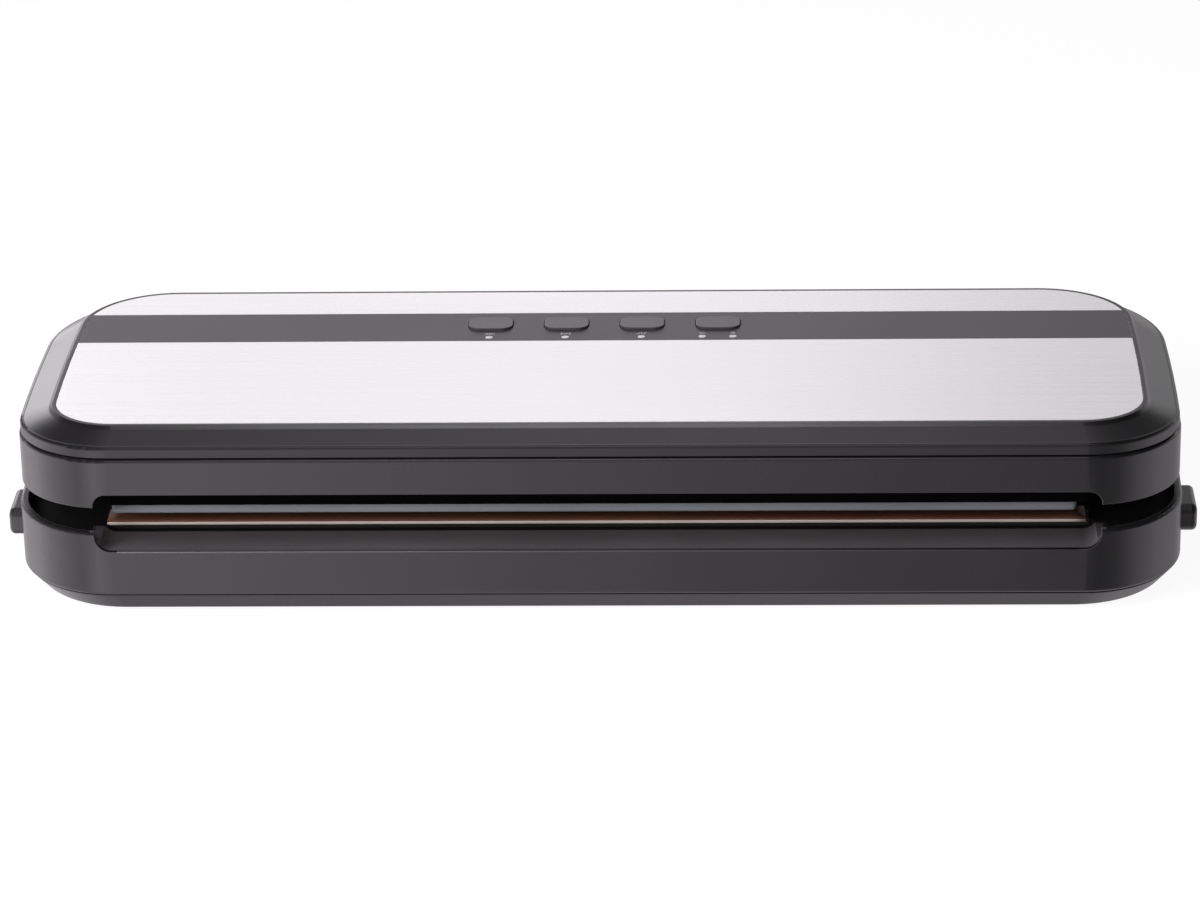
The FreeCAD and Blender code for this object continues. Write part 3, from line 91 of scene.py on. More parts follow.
def newMaterial(name):
    material = bpy.data.materials.new(name)
    material.use_nodes = True
    tree = material.node_tree
    return material, tree, tree.nodes["Principled BSDF"]


def link(tree, output, shader, socket):
    tree.links.new(output, shader.inputs[socket])


def spread(tree, value, low, high):
    node = put(tree, "MapRange", Value=value, To_Min=low, To_Max=high)
    return node.outputs["Result"]


def shade(colour, factor):
    return tuple(min(1.0, c * factor) for c in colour)


# One colour, from its first share to its last as a pattern goes from low to high
def patterned(tree, pattern, colour, first, last, low=0.3, high=0.7):
    node = put(tree, "ValToRGB", Fac=pattern)
    ends = node.color_ramp.elements
    ends[0].position, ends[0].color = low, (*shade(colour, first), 1)
    ends[1].position, ends[1].color = high, (*shade(colour, last), 1)
    return node.outputs["Color"]


# Roughness that follows a pattern, from less to more than the finish's own
def roughen(tree, shader, pattern, rough, less=0.0, more=0.0):
    link(tree, spread(tree, pattern, rough - less, rough + more), shader, "Roughness")


# Fine relief, its depth in mm
def relief(tree, shader, height, strength, depth, normal=None, sunk=False):
    bump = put(tree, "Bump", {"invert": sunk}, Strength=strength, Distance=depth * mm, Height=height)
    if normal is not None:
        link(tree, normal, bump, "Normal")
    link(tree, bump.outputs["Normal"], shader, "Normal")


def edgeNormal(tree, radius):
    return put(tree, "Bevel", {"samples": 6}, Radius=radius * mm).outputs["Normal"]


# Share of a block of space, 1 inside and 0 from a soft distance outside it
def within(tree, place, low, high, soft):
    held = place
    for operation, corner in (("MAXIMUM", low), ("MINIMUM", high)):
        node = put(tree, "VectorMath", {"operation": operation})
        link(tree, held, node, 0)
        node.inputs[1].default_value = [c * mm for c in corner]
        held = node.outputs["Vector"]
    away = put(tree, "VectorMath", {"operation": "DISTANCE"})
    link(tree, place, away, 0)
    link(tree, held, away, 1)
    share = put(tree, "MapRange", Value=away.outputs["Value"], From_Max=soft * mm, To_Min=1.0, To_Max=0.0)
    return share.outputs["Result"]


# Tone and roughness of part of a piece, graded along Y or X from one side to the other
# Zones marked as swung are given for the shut lid
def zoned(tree, place, zone, tone, rough):
    if zone.get("swung"):
        shut = put(
            tree, "Mapping", Vector=place, Location=swingDown.translation, Rotation=swingDown.to_euler())
        place = shut.outputs["Vector"]
    inside = within(tree, place, zone["low"], zone["high"], zone["soft"])
    axis = zone.get("along", "Y")
    ends = [zone[side]["XYZ".index(axis)] * mm for side in ("low", "high")]
    depth = put(tree, "SeparateXYZ", Vector=place).outputs[axis]
    level = put(
        tree, "MapRange", Value=depth, From_Min=ends[0], From_Max=ends[1], To_Min=zone["tones"][0],
        To_Max=zone["tones"][1]).outputs["Result"]
    scaled = put(tree, "VectorMath", {"operation": "SCALE"}, Scale=level)
    link(tree, tone, scaled, 0)
    tone = put(tree, "MixRGB", Fac=inside, Color1=tone, Color2=scaled.outputs["Vector"]).outputs["Color"]
    rough = put(tree, "MapRange", Value=inside, To_Min=rough, To_Max=zone["rough"]).outputs["Result"]
    return tone, rough, inside


# What all moulded plastics share; an edge gets a painted highlight, a lighter copy of the colour, where the
# rounded normal leaves the flat one
plasticMake = dict(
    mottle=0.12, cloud=22.0, roughSpread=0.05, grainDepth=0.03, edgeHighlightFrom=0.99, edgeHighlightTo=0.8, highlightGain=3.0,
    gloss=0.5)


def mouldedPlastic(name, look):
    material, tree, shader = newMaterial(name)
    place = put(tree, "TexCoord").outputs["Object"]
    grain = put(tree, "TexNoise", Vector=place, Scale=1 / (look["grainSize"] * mm), Detail=2.0)
    cloud = put(tree, "TexNoise", Vector=place, Scale=plasticMake["cloud"], Detail=4.0)
    normal = edgeNormal(tree, look["edge"])
    mottle = plasticMake["mottle"]
    tone = patterned(tree, cloud.outputs["Fac"], look["colour"], 1 - mottle, 1 + mottle)
    flat = put(tree, "NewGeometry").outputs["Normal"]
    turn = put(tree, "VectorMath", {"operation": "DOT_PRODUCT"})
    link(tree, normal, turn, 0)
    link(tree, flat, turn, 1)
    # Painted highlight: edges are lightened towards a brighter copy of the colour, standing in for light caught on
    # them
    edgeHighlight = put(
        tree, "MapRange", Value=turn.outputs["Value"], From_Min=plasticMake["edgeHighlightFrom"],
        From_Max=plasticMake["edgeHighlightTo"], To_Max=look["highlightShare"])
    highlightColour = shade(look["colour"], look.get("highlightGain", plasticMake["highlightGain"]))
    highlighted = put(tree, "MixRGB", Fac=edgeHighlight.outputs["Result"], Color1=tone, Color2=(*highlightColour, 1))
    mixed = put(tree, "Math", {"operation": "ADD"})
    link(tree, cloud.outputs["Fac"], mixed, 0)
    link(tree, grain.outputs["Fac"], mixed, 1)
    rough = put(
        tree, "MapRange", Value=mixed.outputs["Value"], From_Min=0.6, From_Max=1.4,
        To_Min=look["rough"] - plasticMake["roughSpread"], To_Max=look["rough"] + plasticMake["roughSpread"])
    tone, rough = highlighted.outputs["Color"], rough.outputs["Result"]
    for zone in look.get("zones", ()):
        tone, rough, inside = zoned(tree, place, zone, tone, rough)
        # A zone with a shine share dims its reflections there, a painted shade
        if "shine" in zone:
            link(tree, spread(tree, inside, 1.0, zone["shine"]), shader, "Specular Tint")
    link(tree, tone, shader, "Base Color")
    link(tree, rough, shader, "Roughness")
    relief(tree, shader, grain.outputs["Fac"], look["grain"], plasticMake["grainDepth"], normal)
    shader.inputs["Specular IOR Level"].default_value = look.get("gloss", plasticMake["gloss"])
    return material


def brushedMetal(name, look):
    material, tree, shader = newMaterial(name)
    place = put(tree, "TexCoord").outputs["Object"]
    along = put(tree, "Mapping", Vector=place, Scale=look["brush"])
    streak = put(tree, "TexNoise", Vector=along.outputs["Vector"], Scale=1.0, Detail=6.0, Roughness=0.65)
    drift = put(tree, "Mapping", Vector=place, Scale=look.get("drift", (9, 9, 9)))
    cloud = put(tree, "TexNoise", Vector=drift.outputs["Vector"], Scale=1.0, Detail=3.0)
    both = put(tree, "Math", {"operation": "ADD"})
    link(tree, streak.outputs["Fac"], both, 0)
    link(tree, cloud.outputs["Fac"], both, 1)
    half = put(tree, "Math", {"operation": "MULTIPLY"})
    link(tree, both.outputs["Value"], half, 0)
    half.inputs[1].default_value = 0.5
    contrast = look["contrast"]
    tone = patterned(tree, half.outputs["Value"], look["colour"], 1 - contrast, 1 + contrast)
    link(tree, tone, shader, "Base Color")
    roughen(tree, shader, streak.outputs["Fac"], look["rough"], less=0.06, more=0.06)
    normal = edgeNormal(tree, look["edge"])
    relief(tree, shader, streak.outputs["Fac"], look["grain"], depth=0.01, normal=normal)
    shader.inputs["Metallic"].default_value = 1.0
    if look.get("stretch"):
        shader.inputs["Anisotropic"].default_value = look["stretch"]
        link(tree, put(tree, "CombineXYZ", X=1.0).outputs["Vector"], shader, "Tangent")
    return material


def cellFoam(name, look):
    material, tree, shader = newMaterial(name)
    place = put(tree, "TexCoord").outputs["Object"]
    cells = put(tree, "TexVoronoi", Vector=place, Scale=1 / (look["cell"] * mm))
    fuzz = put(tree, "TexNoise", Vector=place, Scale=600.0, Detail=3.0)
    cellDepth = cells.outputs["Distance"]
    # Painted shade: the foam is darker where its cell relief sinks
    tone = patterned(tree, cellDepth, look["colour"], 1.25, 0.55, low=0.1, high=0.6)  # cells darken inwards
    link(tree, tone, shader, "Base Color")
    roughen(tree, shader, fuzz.outputs["Fac"], look["rough"], less=0.06, more=0.04)
    relief(tree, shader, cellDepth, look["grain"], depth=0.15, sunk=True)
    shader.inputs["Specular IOR Level"].default_value = 0.25
    return material


def wovenTape(name, look):
    material, tree, shader = newMaterial(name)
    place = put(tree, "TexCoord").outputs["Object"]
    cross = put(tree, "Math", {"operation": "MULTIPLY"})
    for i, axis in enumerate("XY"):
        bands = {"wave_type": "BANDS", "bands_direction": axis}
        wave = put(tree, "TexWave", bands, Vector=place, Scale=look["thread"], Distortion=0.3, Detail=1.0)
        link(tree, wave.outputs["Fac"], cross, i)
    threads = cross.outputs["Value"]
    stain = put(tree, "TexNoise", Vector=place, Scale=40.0, Detail=4.0)
    # Painted shade: the tape is darker between its raised threads and lighter on them
    weave = patterned(tree, threads, look["colour"], 0.65, 1.15, low=0.0, high=0.8)
    aged = patterned(tree, stain.outputs["Fac"], look["colour"], 0.7, 1.2)
    tone = put(tree, "MixRGB", Fac=0.4, Color1=weave, Color2=aged)
    link(tree, tone.outputs["Color"], shader, "Base Color")
    roughen(tree, shader, stain.outputs["Fac"], look["rough"], less=0.08, more=0.08)
    relief(tree, shader, threads, look["grain"], depth=0.04)
    return material


def trackBoard(name, look):
    material, tree, shader = newMaterial(name)
    place = put(tree, "TexCoord").outputs["Object"]
    squares = {"distance": "MANHATTAN", "feature": "F1"}
    cells = put(tree, "TexVoronoi", squares, Vector=place, Scale=1 / (look["cell"] * mm))
    tracks = cells.outputs["Distance"]
    tone = patterned(tree, tracks, look["colour"], 1.0, 1.9, low=0.48, high=0.52)
    link(tree, tone, shader, "Base Color")
    roughen(tree, shader, tracks, look["rough"], more=0.15)
    relief(tree, shader, tracks, look["grain"], depth=0.03, normal=edgeNormal(tree, look["edge"]))
    return material


def woundWire(name, look):
    material, tree, shader = newMaterial(name)
    place = put(tree, "TexCoord").outputs["Object"]
    bands = {"wave_type": "BANDS", "bands_direction": "Z"}
    wave = put(tree, "TexWave", bands, Vector=place, Scale=look["thread"], Distortion=0.4, Detail=1.0)
    turns = wave.outputs["Fac"]
    # Painted shade: the wire is darker in the grooves between its turns
    tone = patterned(tree, turns, look["colour"], 0.45, 1.2, low=0.1, high=0.8)
    link(tree, tone, shader, "Base Color")
    roughen(tree, shader, turns, look["rough"], more=0.2)
    relief(tree, shader, turns, look["grain"], depth=0.2)
    shader.inputs["Metallic"].default_value = look["metal"]
    return material


def milkyLens(name, look):
    material, tree, shader = newMaterial(name)
    place = put(tree, "TexCoord").outputs["Object"]
    cloud = put(tree, "TexNoise", Vector=place, Scale=900.0, Detail=2.0)
    tone = patterned(tree, cloud.outputs["Fac"], look["colour"], 0.93, 1.0)
    link(tree, tone, shader, "Base Color")
    roughen(tree, shader, cloud.outputs["Fac"], look["rough"], more=0.1)
    link(tree, edgeNormal(tree, look["edge"]), shader, "Normal")
    shader.inputs["Transmission Weight"].default_value = look.get("clear", 0.0)
    return material


# What each finish of the part is made of
shellBlack = (0.0125, 0.0115, 0.0125)
# Painted light and shade on the bag recess floor: much lighter towards the front edge, darker towards the bar
# under the lid
recessPaintedLight = dict(low=(-158, -70.6, 22.7), high=(158, -56, 29.0), soft=0.8, tones=(8.0, 3.2), rough=0.4)
# Painted highlight along the recess's front lip, bright at the left end and fading into painted shade at the right
# end
lipPaintedHighlight = dict(
    low=(-150, -73, 22.75), high=(150, -71.4, 23.3), soft=0.3, along="X", tones=(6.0, 0.3), rough=0.4)
# Painted shade inside the slot above the pressure strip: a much darker colour and dimmed reflections
slotPaintedShade = dict(
    low=(-157, -69, 30), high=(157, -44, 46), soft=0.5, tones=(0.1, 0.1), rough=0.9, shine=0.12)
# Painted shade on the inside mouldings: darker outside this middle block, near the rim seen through the lid's gap;
# lighter inside it
deckPaintedRimShade = dict(low=(-148, -46, 5), high=(148, 58, 45), soft=9.0, tones=(6.0, 6.0), rough=0.5)
beadBand = dict(
    low=(-190, -80, 48.4), high=(190, 80, 52.2), soft=0.2, tones=(0.75, 0.75), rough=0.34, swung=True)
finishes = {
    "base_shell": (mouldedPlastic, dict(
        colour=shellBlack, rough=0.24, grain=0.08, grainSize=0.35, edge=0.4, highlightShare=0.5, highlightGain=8.0,
        zones=[recessPaintedLight, lipPaintedHighlight])),
    "deck": (mouldedPlastic, dict(
        colour=shade(shellBlack, 0.5), rough=0.6, grain=0.3, grainSize=0.5, edge=0.4, highlightShare=0.3, gloss=0.07,
        zones=[deckPaintedRimShade])),
    "lid_shell": (mouldedPlastic, dict(
        colour=shellBlack, rough=0.24, grain=0.08, grainSize=0.35, edge=0.4, highlightShare=0.5, highlightGain=8.0,
        zones=[slotPaintedShade])),
    "lid_cover": (mouldedPlastic, dict(
        colour=shellBlack, rough=0.22, grain=0.07, grainSize=0.35, edge=0.22, highlightShare=0.5, highlightGain=8.0,
        zones=[beadBand])),
    "release": (mouldedPlastic, dict(
        colour=shade(shellBlack, 1.6), rough=0.26, grain=0.1, grainSize=0.35, edge=0.5, highlightShare=0.15)),
    "panel": (mouldedPlastic, dict(
        colour=(0.053, 0.048, 0.054), rough=0.38, grain=0.15, grainSize=0.3, edge=0.2, highlightShare=0.2)),
    "key": (mouldedPlastic, dict(
        colour=(0.056, 0.051, 0.057), rough=0.36, grain=0.12, grainSize=0.3, edge=0.4, highlightShare=0.4)),
    "switch": (mouldedPlastic, dict(
        colour=(0.03, 0.03, 0.03), rough=0.4, grain=0.1, grainSize=0.3, edge=0.2, highlightShare=0.2)),
    "plunger": (mouldedPlastic, dict(
        colour=(0.35, 0.05, 0.04), rough=0.4, grain=0.1, grainSize=0.3, edge=0.2, highlightShare=0.1)),
    "nozzle": (mouldedPlastic, dict(
        colour=(0.05, 0.05, 0.054), rough=0.42, grain=0.1, grainSize=0.3, edge=0.2, highlightShare=0.2)),
    "pump": (mouldedPlastic, dict(
        colour=(0.06, 0.06, 0.066), rough=0.45, grain=0.2, grainSize=0.5, edge=0.3, highlightShare=0.2)),
    "valve": (mouldedPlastic, dict(
        colour=(0.1, 0.1, 0.11), rough=0.45, grain=0.2, grainSize=0.5, edge=0.3, highlightShare=0.2)),
    "bar": (mouldedPlastic, dict(
        colour=(0.012, 0.011, 0.01), rough=0.6, grain=0.3, grainSize=0.5, edge=0.2, highlightShare=0.2)),
    "foot": (mouldedPlastic, dict(
        colour=(0.022, 0.022, 0.023), rough=0.75, grain=0.5, grainSize=0.6, edge=0.5, highlightShare=0.1, gloss=0.3)),
    "gland": (mouldedPlastic, dict(
        colour=(0.02, 0.02, 0.021), rough=0.7, grain=0.4, grainSize=0.5, edge=0.4, highlightShare=0.1, gloss=0.3)),
    "membrane": (mouldedPlastic, dict(
        colour=(0.03, 0.03, 0.032), rough=0.8, grain=0.4, grainSize=0.5, edge=0.3, highlightShare=0.1, gloss=0.3)),
    "pad": (mouldedPlastic, dict(
        colour=(0.2, 0.207, 0.228), rough=0.55, grain=0.35, grainSize=0.45, edge=0.2, highlightShare=0.1, gloss=0.4)),
    "capacitor": (mouldedPlastic, dict(
        colour=(0.03, 0.04, 0.12), rough=0.3, grain=0.05, grainSize=0.5, edge=0.4, highlightShare=0.2)),
    "lamp": (milkyLens, dict(colour=(0.85, 0.82, 0.6), rough=0.2, edge=0.15, clear=0.3)),
    "lens": (milkyLens, dict(colour=(0.9, 0.9, 0.92), rough=0.25, edge=0.2)),
    "hose": (milkyLens, dict(colour=(0.75, 0.77, 0.75), rough=0.35, edge=0.2, clear=0.5)),
    "steel": (brushedMetal, dict(
        colour=(0.93, 0.928, 0.93), rough=0.28, grain=0.12, edge=0.2, contrast=0.025, brush=(4, 2600, 2600),
        drift=(4, 26, 26), stretch=0.6)),
    "band": (brushedMetal, dict(
        colour=(0.5, 0.48, 0.45), rough=0.35, grain=0.2, edge=0.05, contrast=0.12, brush=(10, 900, 900))),
    "screw": (brushedMetal, dict(
        colour=(0.42, 0.42, 0.44), rough=0.35, grain=0.2, edge=0.15, contrast=0.1, brush=(400, 400, 400))),
    "hook": (brushedMetal, dict(
        colour=(0.6, 0.6, 0.61), rough=0.3, grain=0.2, edge=0.3, contrast=0.1, brush=(300, 60, 300))),
    "pin": (brushedMetal, dict(
        colour=(0.6, 0.6, 0.61), rough=0.22, grain=0.15, edge=0.15, contrast=0.08, brush=(30, 900, 900))),
    "spring": (brushedMetal, dict(
        colour=(0.5, 0.5, 0.52), rough=0.28, grain=0.1, edge=0.05, contrast=0.1, brush=(300, 300, 300))),
    "motor": (brushedMetal, dict(
        colour=(0.48, 0.48, 0.49), rough=0.35, grain=0.2, edge=0.3, contrast=0.1, brush=(400, 40, 40))),
    "heatsink": (brushedMetal, dict(
        colour=(0.6, 0.6, 0.61), rough=0.4, grain=0.2, edge=0.15, contrast=0.08, brush=(60, 60, 900))),
    "board": (trackBoard, dict(colour=(0.02, 0.12, 0.045), rough=0.3, grain=0.4, edge=0.1, cell=4.0)),
    "coil": (woundWire, dict(colour=(0.5, 0.22, 0.07), rough=0.3, grain=0.8, thread=330.0, metal=0.6)),
    "foam": (cellFoam, dict(colour=(0.03, 0.03, 0.032), rough=0.92, grain=0.5, cell=0.5)),
    "tape": (wovenTape, dict(colour=(0.16, 0.066, 0.042), rough=0.42, grain=0.5, thread=420.0)),
}
materials = {slot: make("finish_" + slot, look) for slot, (make, look) in finishes.items()}
slotOf = {part["node"]: part["material_slot"] for part in frame["record"]["subparts"]}
# The inside mouldings take the darker deck finish, a painted shade where the lid's gap shows them
innerNodes = ("chamber_deck", "trough_basin")  # matt inside mouldings
for nodeName, solid in solids.items():
    solid.data.materials.clear()
    solid.data.materials.append(materials["deck" if nodeName in innerNodes else slotOf[nodeName]])
print("finishes made:", len(materials))


# Meshes from rows of points
def gridMesh(name, rows, closeAcross, closeAlong, caps=False):
    shape = bmesh.new()
    grid = [[shape.verts.new(p) for p in row] for row in rows]
    count = len(rows[0])
    for i in range(len(rows) if closeAlong else len(rows) - 1):
        here, after = grid[i], grid[(i + 1) % len(rows)]
        for k in range(count if closeAcross else count - 1):
            n = (k + 1) % count
            shape.faces.new((here[k], here[n], after[n], after[k]))
    if caps:
        shape.faces.new(grid[0])
        shape.faces.new(list(reversed(grid[-1])))
    bmesh.ops.recalc_face_normals(shape, faces=shape.faces)
    mesh = bpy.data.meshes.new(name)
    shape.to_mesh(mesh)
    shape.free()
    mesh.polygons.foreach_set("use_smooth", [True] * len(mesh.polygons))
    piece = bpy.data.objects.new(name, mesh)
    bpy.context.scene.collection.objects.link(piece)
    return piece


def finishPiece(piece, body, slot, material=None):
    piece.data.materials.append(material or materials[slot])
    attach(piece, body)
    return piece


# Foam gaskets: one soft strip bent into a ring, with a crowned face
foamRing = dict(
    width=6.0, corner=14.0, cornerSteps=12, step=2.0, around=20, power=3.0, lumps=0.05, lumpSize=5.0)


def ringPath(low, high):
    inset = foamRing["corner"] * mm
    radius = inset - foamRing["width"] / 2 * mm
    left, right, front, rear = low.x + inset, high.x - inset, low.y + inset, high.y - inset
    centres = [(right, rear, 0), (left, rear, 90), (left, front, 180), (right, front, 270)]
    steps = foamRing["cornerSteps"]
    path = []
    for i, (cx, cy, start) in enumerate(centres):
        for k in range(steps + 1):
            a = math.radians(start + 90 * k / steps)
            path.append(Vector((cx + radius * math.cos(a), cy + radius * math.sin(a), 0)))
        nx, ny, turn = centres[(i + 1) % 4]
        a = math.radians(turn)
        goal = Vector((nx + radius * math.cos(a), ny + radius * math.sin(a), 0))
        pieces = max(1, round((goal - path[-1]).length / (foamRing["step"] * mm)))
        begin = path[-1]
        path += [begin.lerp(goal, k / pieces) for k in range(1, pieces)]
    return path


def foamGasket(name, node, lid):
    low, high = shutBox(node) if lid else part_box(node)
    path = ringPath(low, high)
    halfW, halfH = foamRing["width"] / 2 * mm, (high.z - low.z) / 2
    middle = (low.z + high.z) / 2
    rows = []
    for i, p in enumerate(path):
        ahead = path[(i + 1) % len(path)] - path[i - 1]
        side = Vector((ahead.y, -ahead.x, 0)).normalized()
        row = []
        for k in range(foamRing["around"]):
            a = 2 * math.pi * k / foamRing["around"]
            c, s = math.cos(a), math.sin(a)
            across = math.copysign(abs(c) ** (2 / foamRing["power"]), c)
            up = math.copysign(abs(s) ** (2 / foamRing["power"]), s)
            level = noise.noise((p + side * across * halfW) / (foamRing["lumpSize"] * mm)) - 0.5
            lump = min(1 + foamRing["lumps"] * level, 1.0)  # lumps only sink in
            q = p + side * across * halfW * lump + Vector((0, 0, middle + up * halfH * lump))
            row.append(swingUp @ q if lid else q)
        rows.append(row)
    piece = finishPiece(gridMesh(name, rows, True, True), "lid" if lid else "base", "foam")
    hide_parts(node)
    return piece


foamGasket("lowerFoam", "lower_gasket", False)
foamGasket("upperFoam", "upper_gasket", True)
print("foam gaskets done")


# Silicone pressure strip under the lid: it swells forward under its holder and has fine lengthwise ribs
pressStrip = dict(
    swell=1.7, lean=0.7, show=2.8, bulgeLean=0.45, bulgeShow=0.6, rounding=0.8, lipBack=0.3, lipRound=0.2,
    ribs=5, ribSteps=6, ribDepth=0.18, step=4.0, endRound=1.4, endShrink=0.25, shift=-1.4)
quarterTurn = (0, 0.52, 1.05, math.pi / 2)
fineQuarter = (0, 0.4, 0.8, 1.2, math.pi / 2)


def stripSection(width, height):
    r, swell, show = (pressStrip[key] * mm for key in ("rounding", "swell", "show"))
    lean = pressStrip["lean"] * mm
    points = [(0, height), (width, height), (width, r)]
    points += [(width - r + r * math.cos(a), r - r * math.sin(a)) for a in quarterTurn[1:]]
    flat = width + swell - 2 * r
    count = pressStrip["ribs"] * pressStrip["ribSteps"]
    for k in range(1, count):
        wave = (1 - math.cos(2 * math.pi * k / pressStrip["ribSteps"])) / 2
        points.append((width - r - flat * k / count, pressStrip["ribDepth"] * mm * wave))
    points += [(-swell + r - r * math.sin(a), r - r * math.cos(a)) for a in quarterTurn]
    points += [(-swell + lean * pressStrip["bulgeLean"], show * pressStrip["bulgeShow"])]
    points += [(-swell + lean, show - pressStrip["lipRound"] * mm)]
    points += [(-swell + lean + pressStrip["lipBack"] * mm, show), (0, show)]
    return points


def pressureStrip():
    low, high = shutBox("seal_pad")
    low.x, high.x = low.x + pressStrip["shift"] * mm, high.x + pressStrip["shift"] * mm
    section = stripSection(high.y - low.y, high.z - low.z)
    middle = (high.y - low.y) / 2
    end = pressStrip["endRound"] * mm
    shrink = pressStrip["endShrink"]
    stations = [(low.x + end * (1 - math.cos(a)), 1 - (1 - math.sin(a)) * shrink) for a in fineQuarter]
    pieces = round((high.x - low.x - 2 * end) / (pressStrip["step"] * mm))
    stations += [(low.x + end + (high.x - low.x - 2 * end) * k / pieces, 1.0) for k in range(1, pieces)]
    stations += [(low.x + high.x - x, s) for x, s in reversed(stations[:len(fineQuarter)])]
    top = high.z - low.z
    rows = []
    for x, s in stations:
        points = [(x, low.y + middle + (y - middle) * s, low.z + top - (top - z) * s) for y, z in section]
        rows.append([swingUp @ Vector(point) for point in points])
    piece = finishPiece(gridMesh("pressureStrip", rows, True, False, caps=True), "lid", "pad")
    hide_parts("seal_pad")


pressureStrip()
print("pressure strip done")


# Non-stick cover tape over the heating band, tucked in behind the bar,
# and a rounded lip along the bar's front edge, pale as a painted highlight
coverTape = dict(
    bend=0.5, tuck=1.6, thickness=0.12, ridge=2.0, slope=0.4, rearSag=0.1, rearStep=0.08, frontStep=0.05,
    frontSag=0.06, foldRound=0.2, foldLean=0.02, fold=0.55, steps=80, shift=-1.0)
paleHighlightLip = dict(
    drop=1.05, thick=0.3, turnOut=0.7, turnDown=0.02, shoulder=0.4,
    look=dict(colour=(0.55, 0.465, 0.43), rough=0.5, grain=0.3, grainSize=0.4, edge=0.1, highlightShare=0.05))


def alongBar(name, section, xs, slot, material=None):
    rows = [[Vector((x, y, z)) for y, z in section] for x in xs]
    return finishPiece(gridMesh(name, rows, True, False, caps=True), "base", slot, material)


def coverTapePieces():
    low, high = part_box("release_tape")
    barLow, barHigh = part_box("seal_bar")
    t, r, ridge, slope, fold = (
        coverTape[key] * mm for key in ("thickness", "bend", "ridge", "slope", "fold"))
    rearSag, rearStep, frontStep, frontSag, foldRound, foldLean = (
        coverTape[key] * mm
        for key in ("rearSag", "rearStep", "frontStep", "frontSag", "foldRound", "foldLean"))
    front, rear, top = barLow.y, barHigh.y, high.z
    middle = (front + rear) / 2
    outer = [(rear + t, top - r - coverTape["tuck"] * mm)]
    outer += [(rear + t - r + r * math.cos(a), top - rearSag - r + r * math.sin(a)) for a in fineQuarter]
    outer += [(middle + ridge + slope, top - rearStep), (middle + ridge, top), (middle - ridge, top)]
    outer += [(middle - ridge - slope, top - frontStep), (front, top - frontSag)]
    outer += [(front - t, top - foldRound), (front - t - foldLean, top - fold)]
    inner = []
    for i, (y, z) in enumerate(outer):
        before, after = outer[max(i - 1, 0)], outer[min(i + 1, len(outer) - 1)]
        along = Vector((after[0] - before[0], after[1] - before[1])).normalized()
        inner.append((y - along.y * t, z + along.x * t))
    steps = coverTape["steps"]
    xs = [low.x + coverTape["shift"] * mm + (high.x - low.x) * k / steps for k in range(steps + 1)]
    tape = alongBar("coverTape", outer + list(reversed(inner)), xs, "tape")
    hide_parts("release_tape")

    # The lip's pale colour is a painted highlight along the bar's front edge
    thick, turnDown = paleHighlightLip["thick"] * mm, paleHighlightLip["turnDown"] * mm
    face, turnOut = front - thick, front - thick * paleHighlightLip["turnOut"]
    edgeTop = top - fold
    edgeLow = edgeTop - paleHighlightLip["drop"] * mm
    lip = [(front, edgeTop), (turnOut, edgeTop - turnDown), (face, edgeTop - thick * paleHighlightLip["shoulder"])]
    lip += [(face, edgeLow + thick), (turnOut, edgeLow + turnDown), (front, edgeLow)]
    alongBar("tapeEdgeHighlight", lip, xs, "tape", mouldedPlastic("finish_tapeEdge", paleHighlightLip["look"]))


coverTapePieces()
print("cover tape done")


# Coil springs behind the release buttons
coilSpring = dict(turns=6, flatTurns=1.0, flatRise=0.16, wire=0.6, steps=20, around=10)


def coilRows(low, high):
    half = coilSpring["wire"] / 2 * mm
    radius = (high.y - low.y) / 2 - half
    turns, flat = coilSpring["turns"], coilSpring["flatTurns"]
    flatRise = coilSpring["flatRise"]
    first, last = low.x + half, high.x - half
    middleY, middleZ = (low.y + high.y) / 2, (low.z + high.z) / 2
    path = []
    for k in range(turns * coilSpring["steps"] + 1):
        turn = k / coilSpring["steps"]
        share = min(max((turn - flat) / (turns - 2 * flat), 0.0), 1.0)  # the end turns lie nearly flat
        rise = first + (last - first) * ((1 - flatRise) * share + flatRise * turn / turns)
        a = 2 * math.pi * turn
        path.append(Vector((rise, middleY + radius * math.cos(a), middleZ + radius * math.sin(a))))
    rows = []
    for i, p in enumerate(path):
        ahead = (path[min(i + 1, len(path) - 1)] - path[max(i - 1, 0)]).normalized()
        side = ahead.cross(Vector((1, 0, 0))).normalized()
        up = side.cross(ahead)
        angles = [2 * math.pi * k / coilSpring["around"] for k in range(coilSpring["around"])]
        rows.append([p + (side * math.cos(a) + up * math.sin(a)) * half for a in angles])
    return rows


def releaseSpring(side):
    node, pressName = "release_spring_" + side, "release_" + side + "_press"
    low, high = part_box(node)
    coil = gridMesh("coil_" + side, coilRows(low, high), True, False, caps=True)
    spring = finishPiece(coil, "base", "spring")
    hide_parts(node)
    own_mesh(spring)


releaseSpring("right")
releaseSpring("left")
print("release springs done")


# Small printed symbols on the control strip, plain line figures behind the indicator lights
symbols = dict(stroke=0.26, rise=0.02, behind=3.2, colour=(0.75, 0.75, 0.76))
arc16 = [2 * math.pi * k / 16 for k in range(17)]


def polar(radius, angle):
    return radius * math.cos(angle), radius * math.sin(angle)


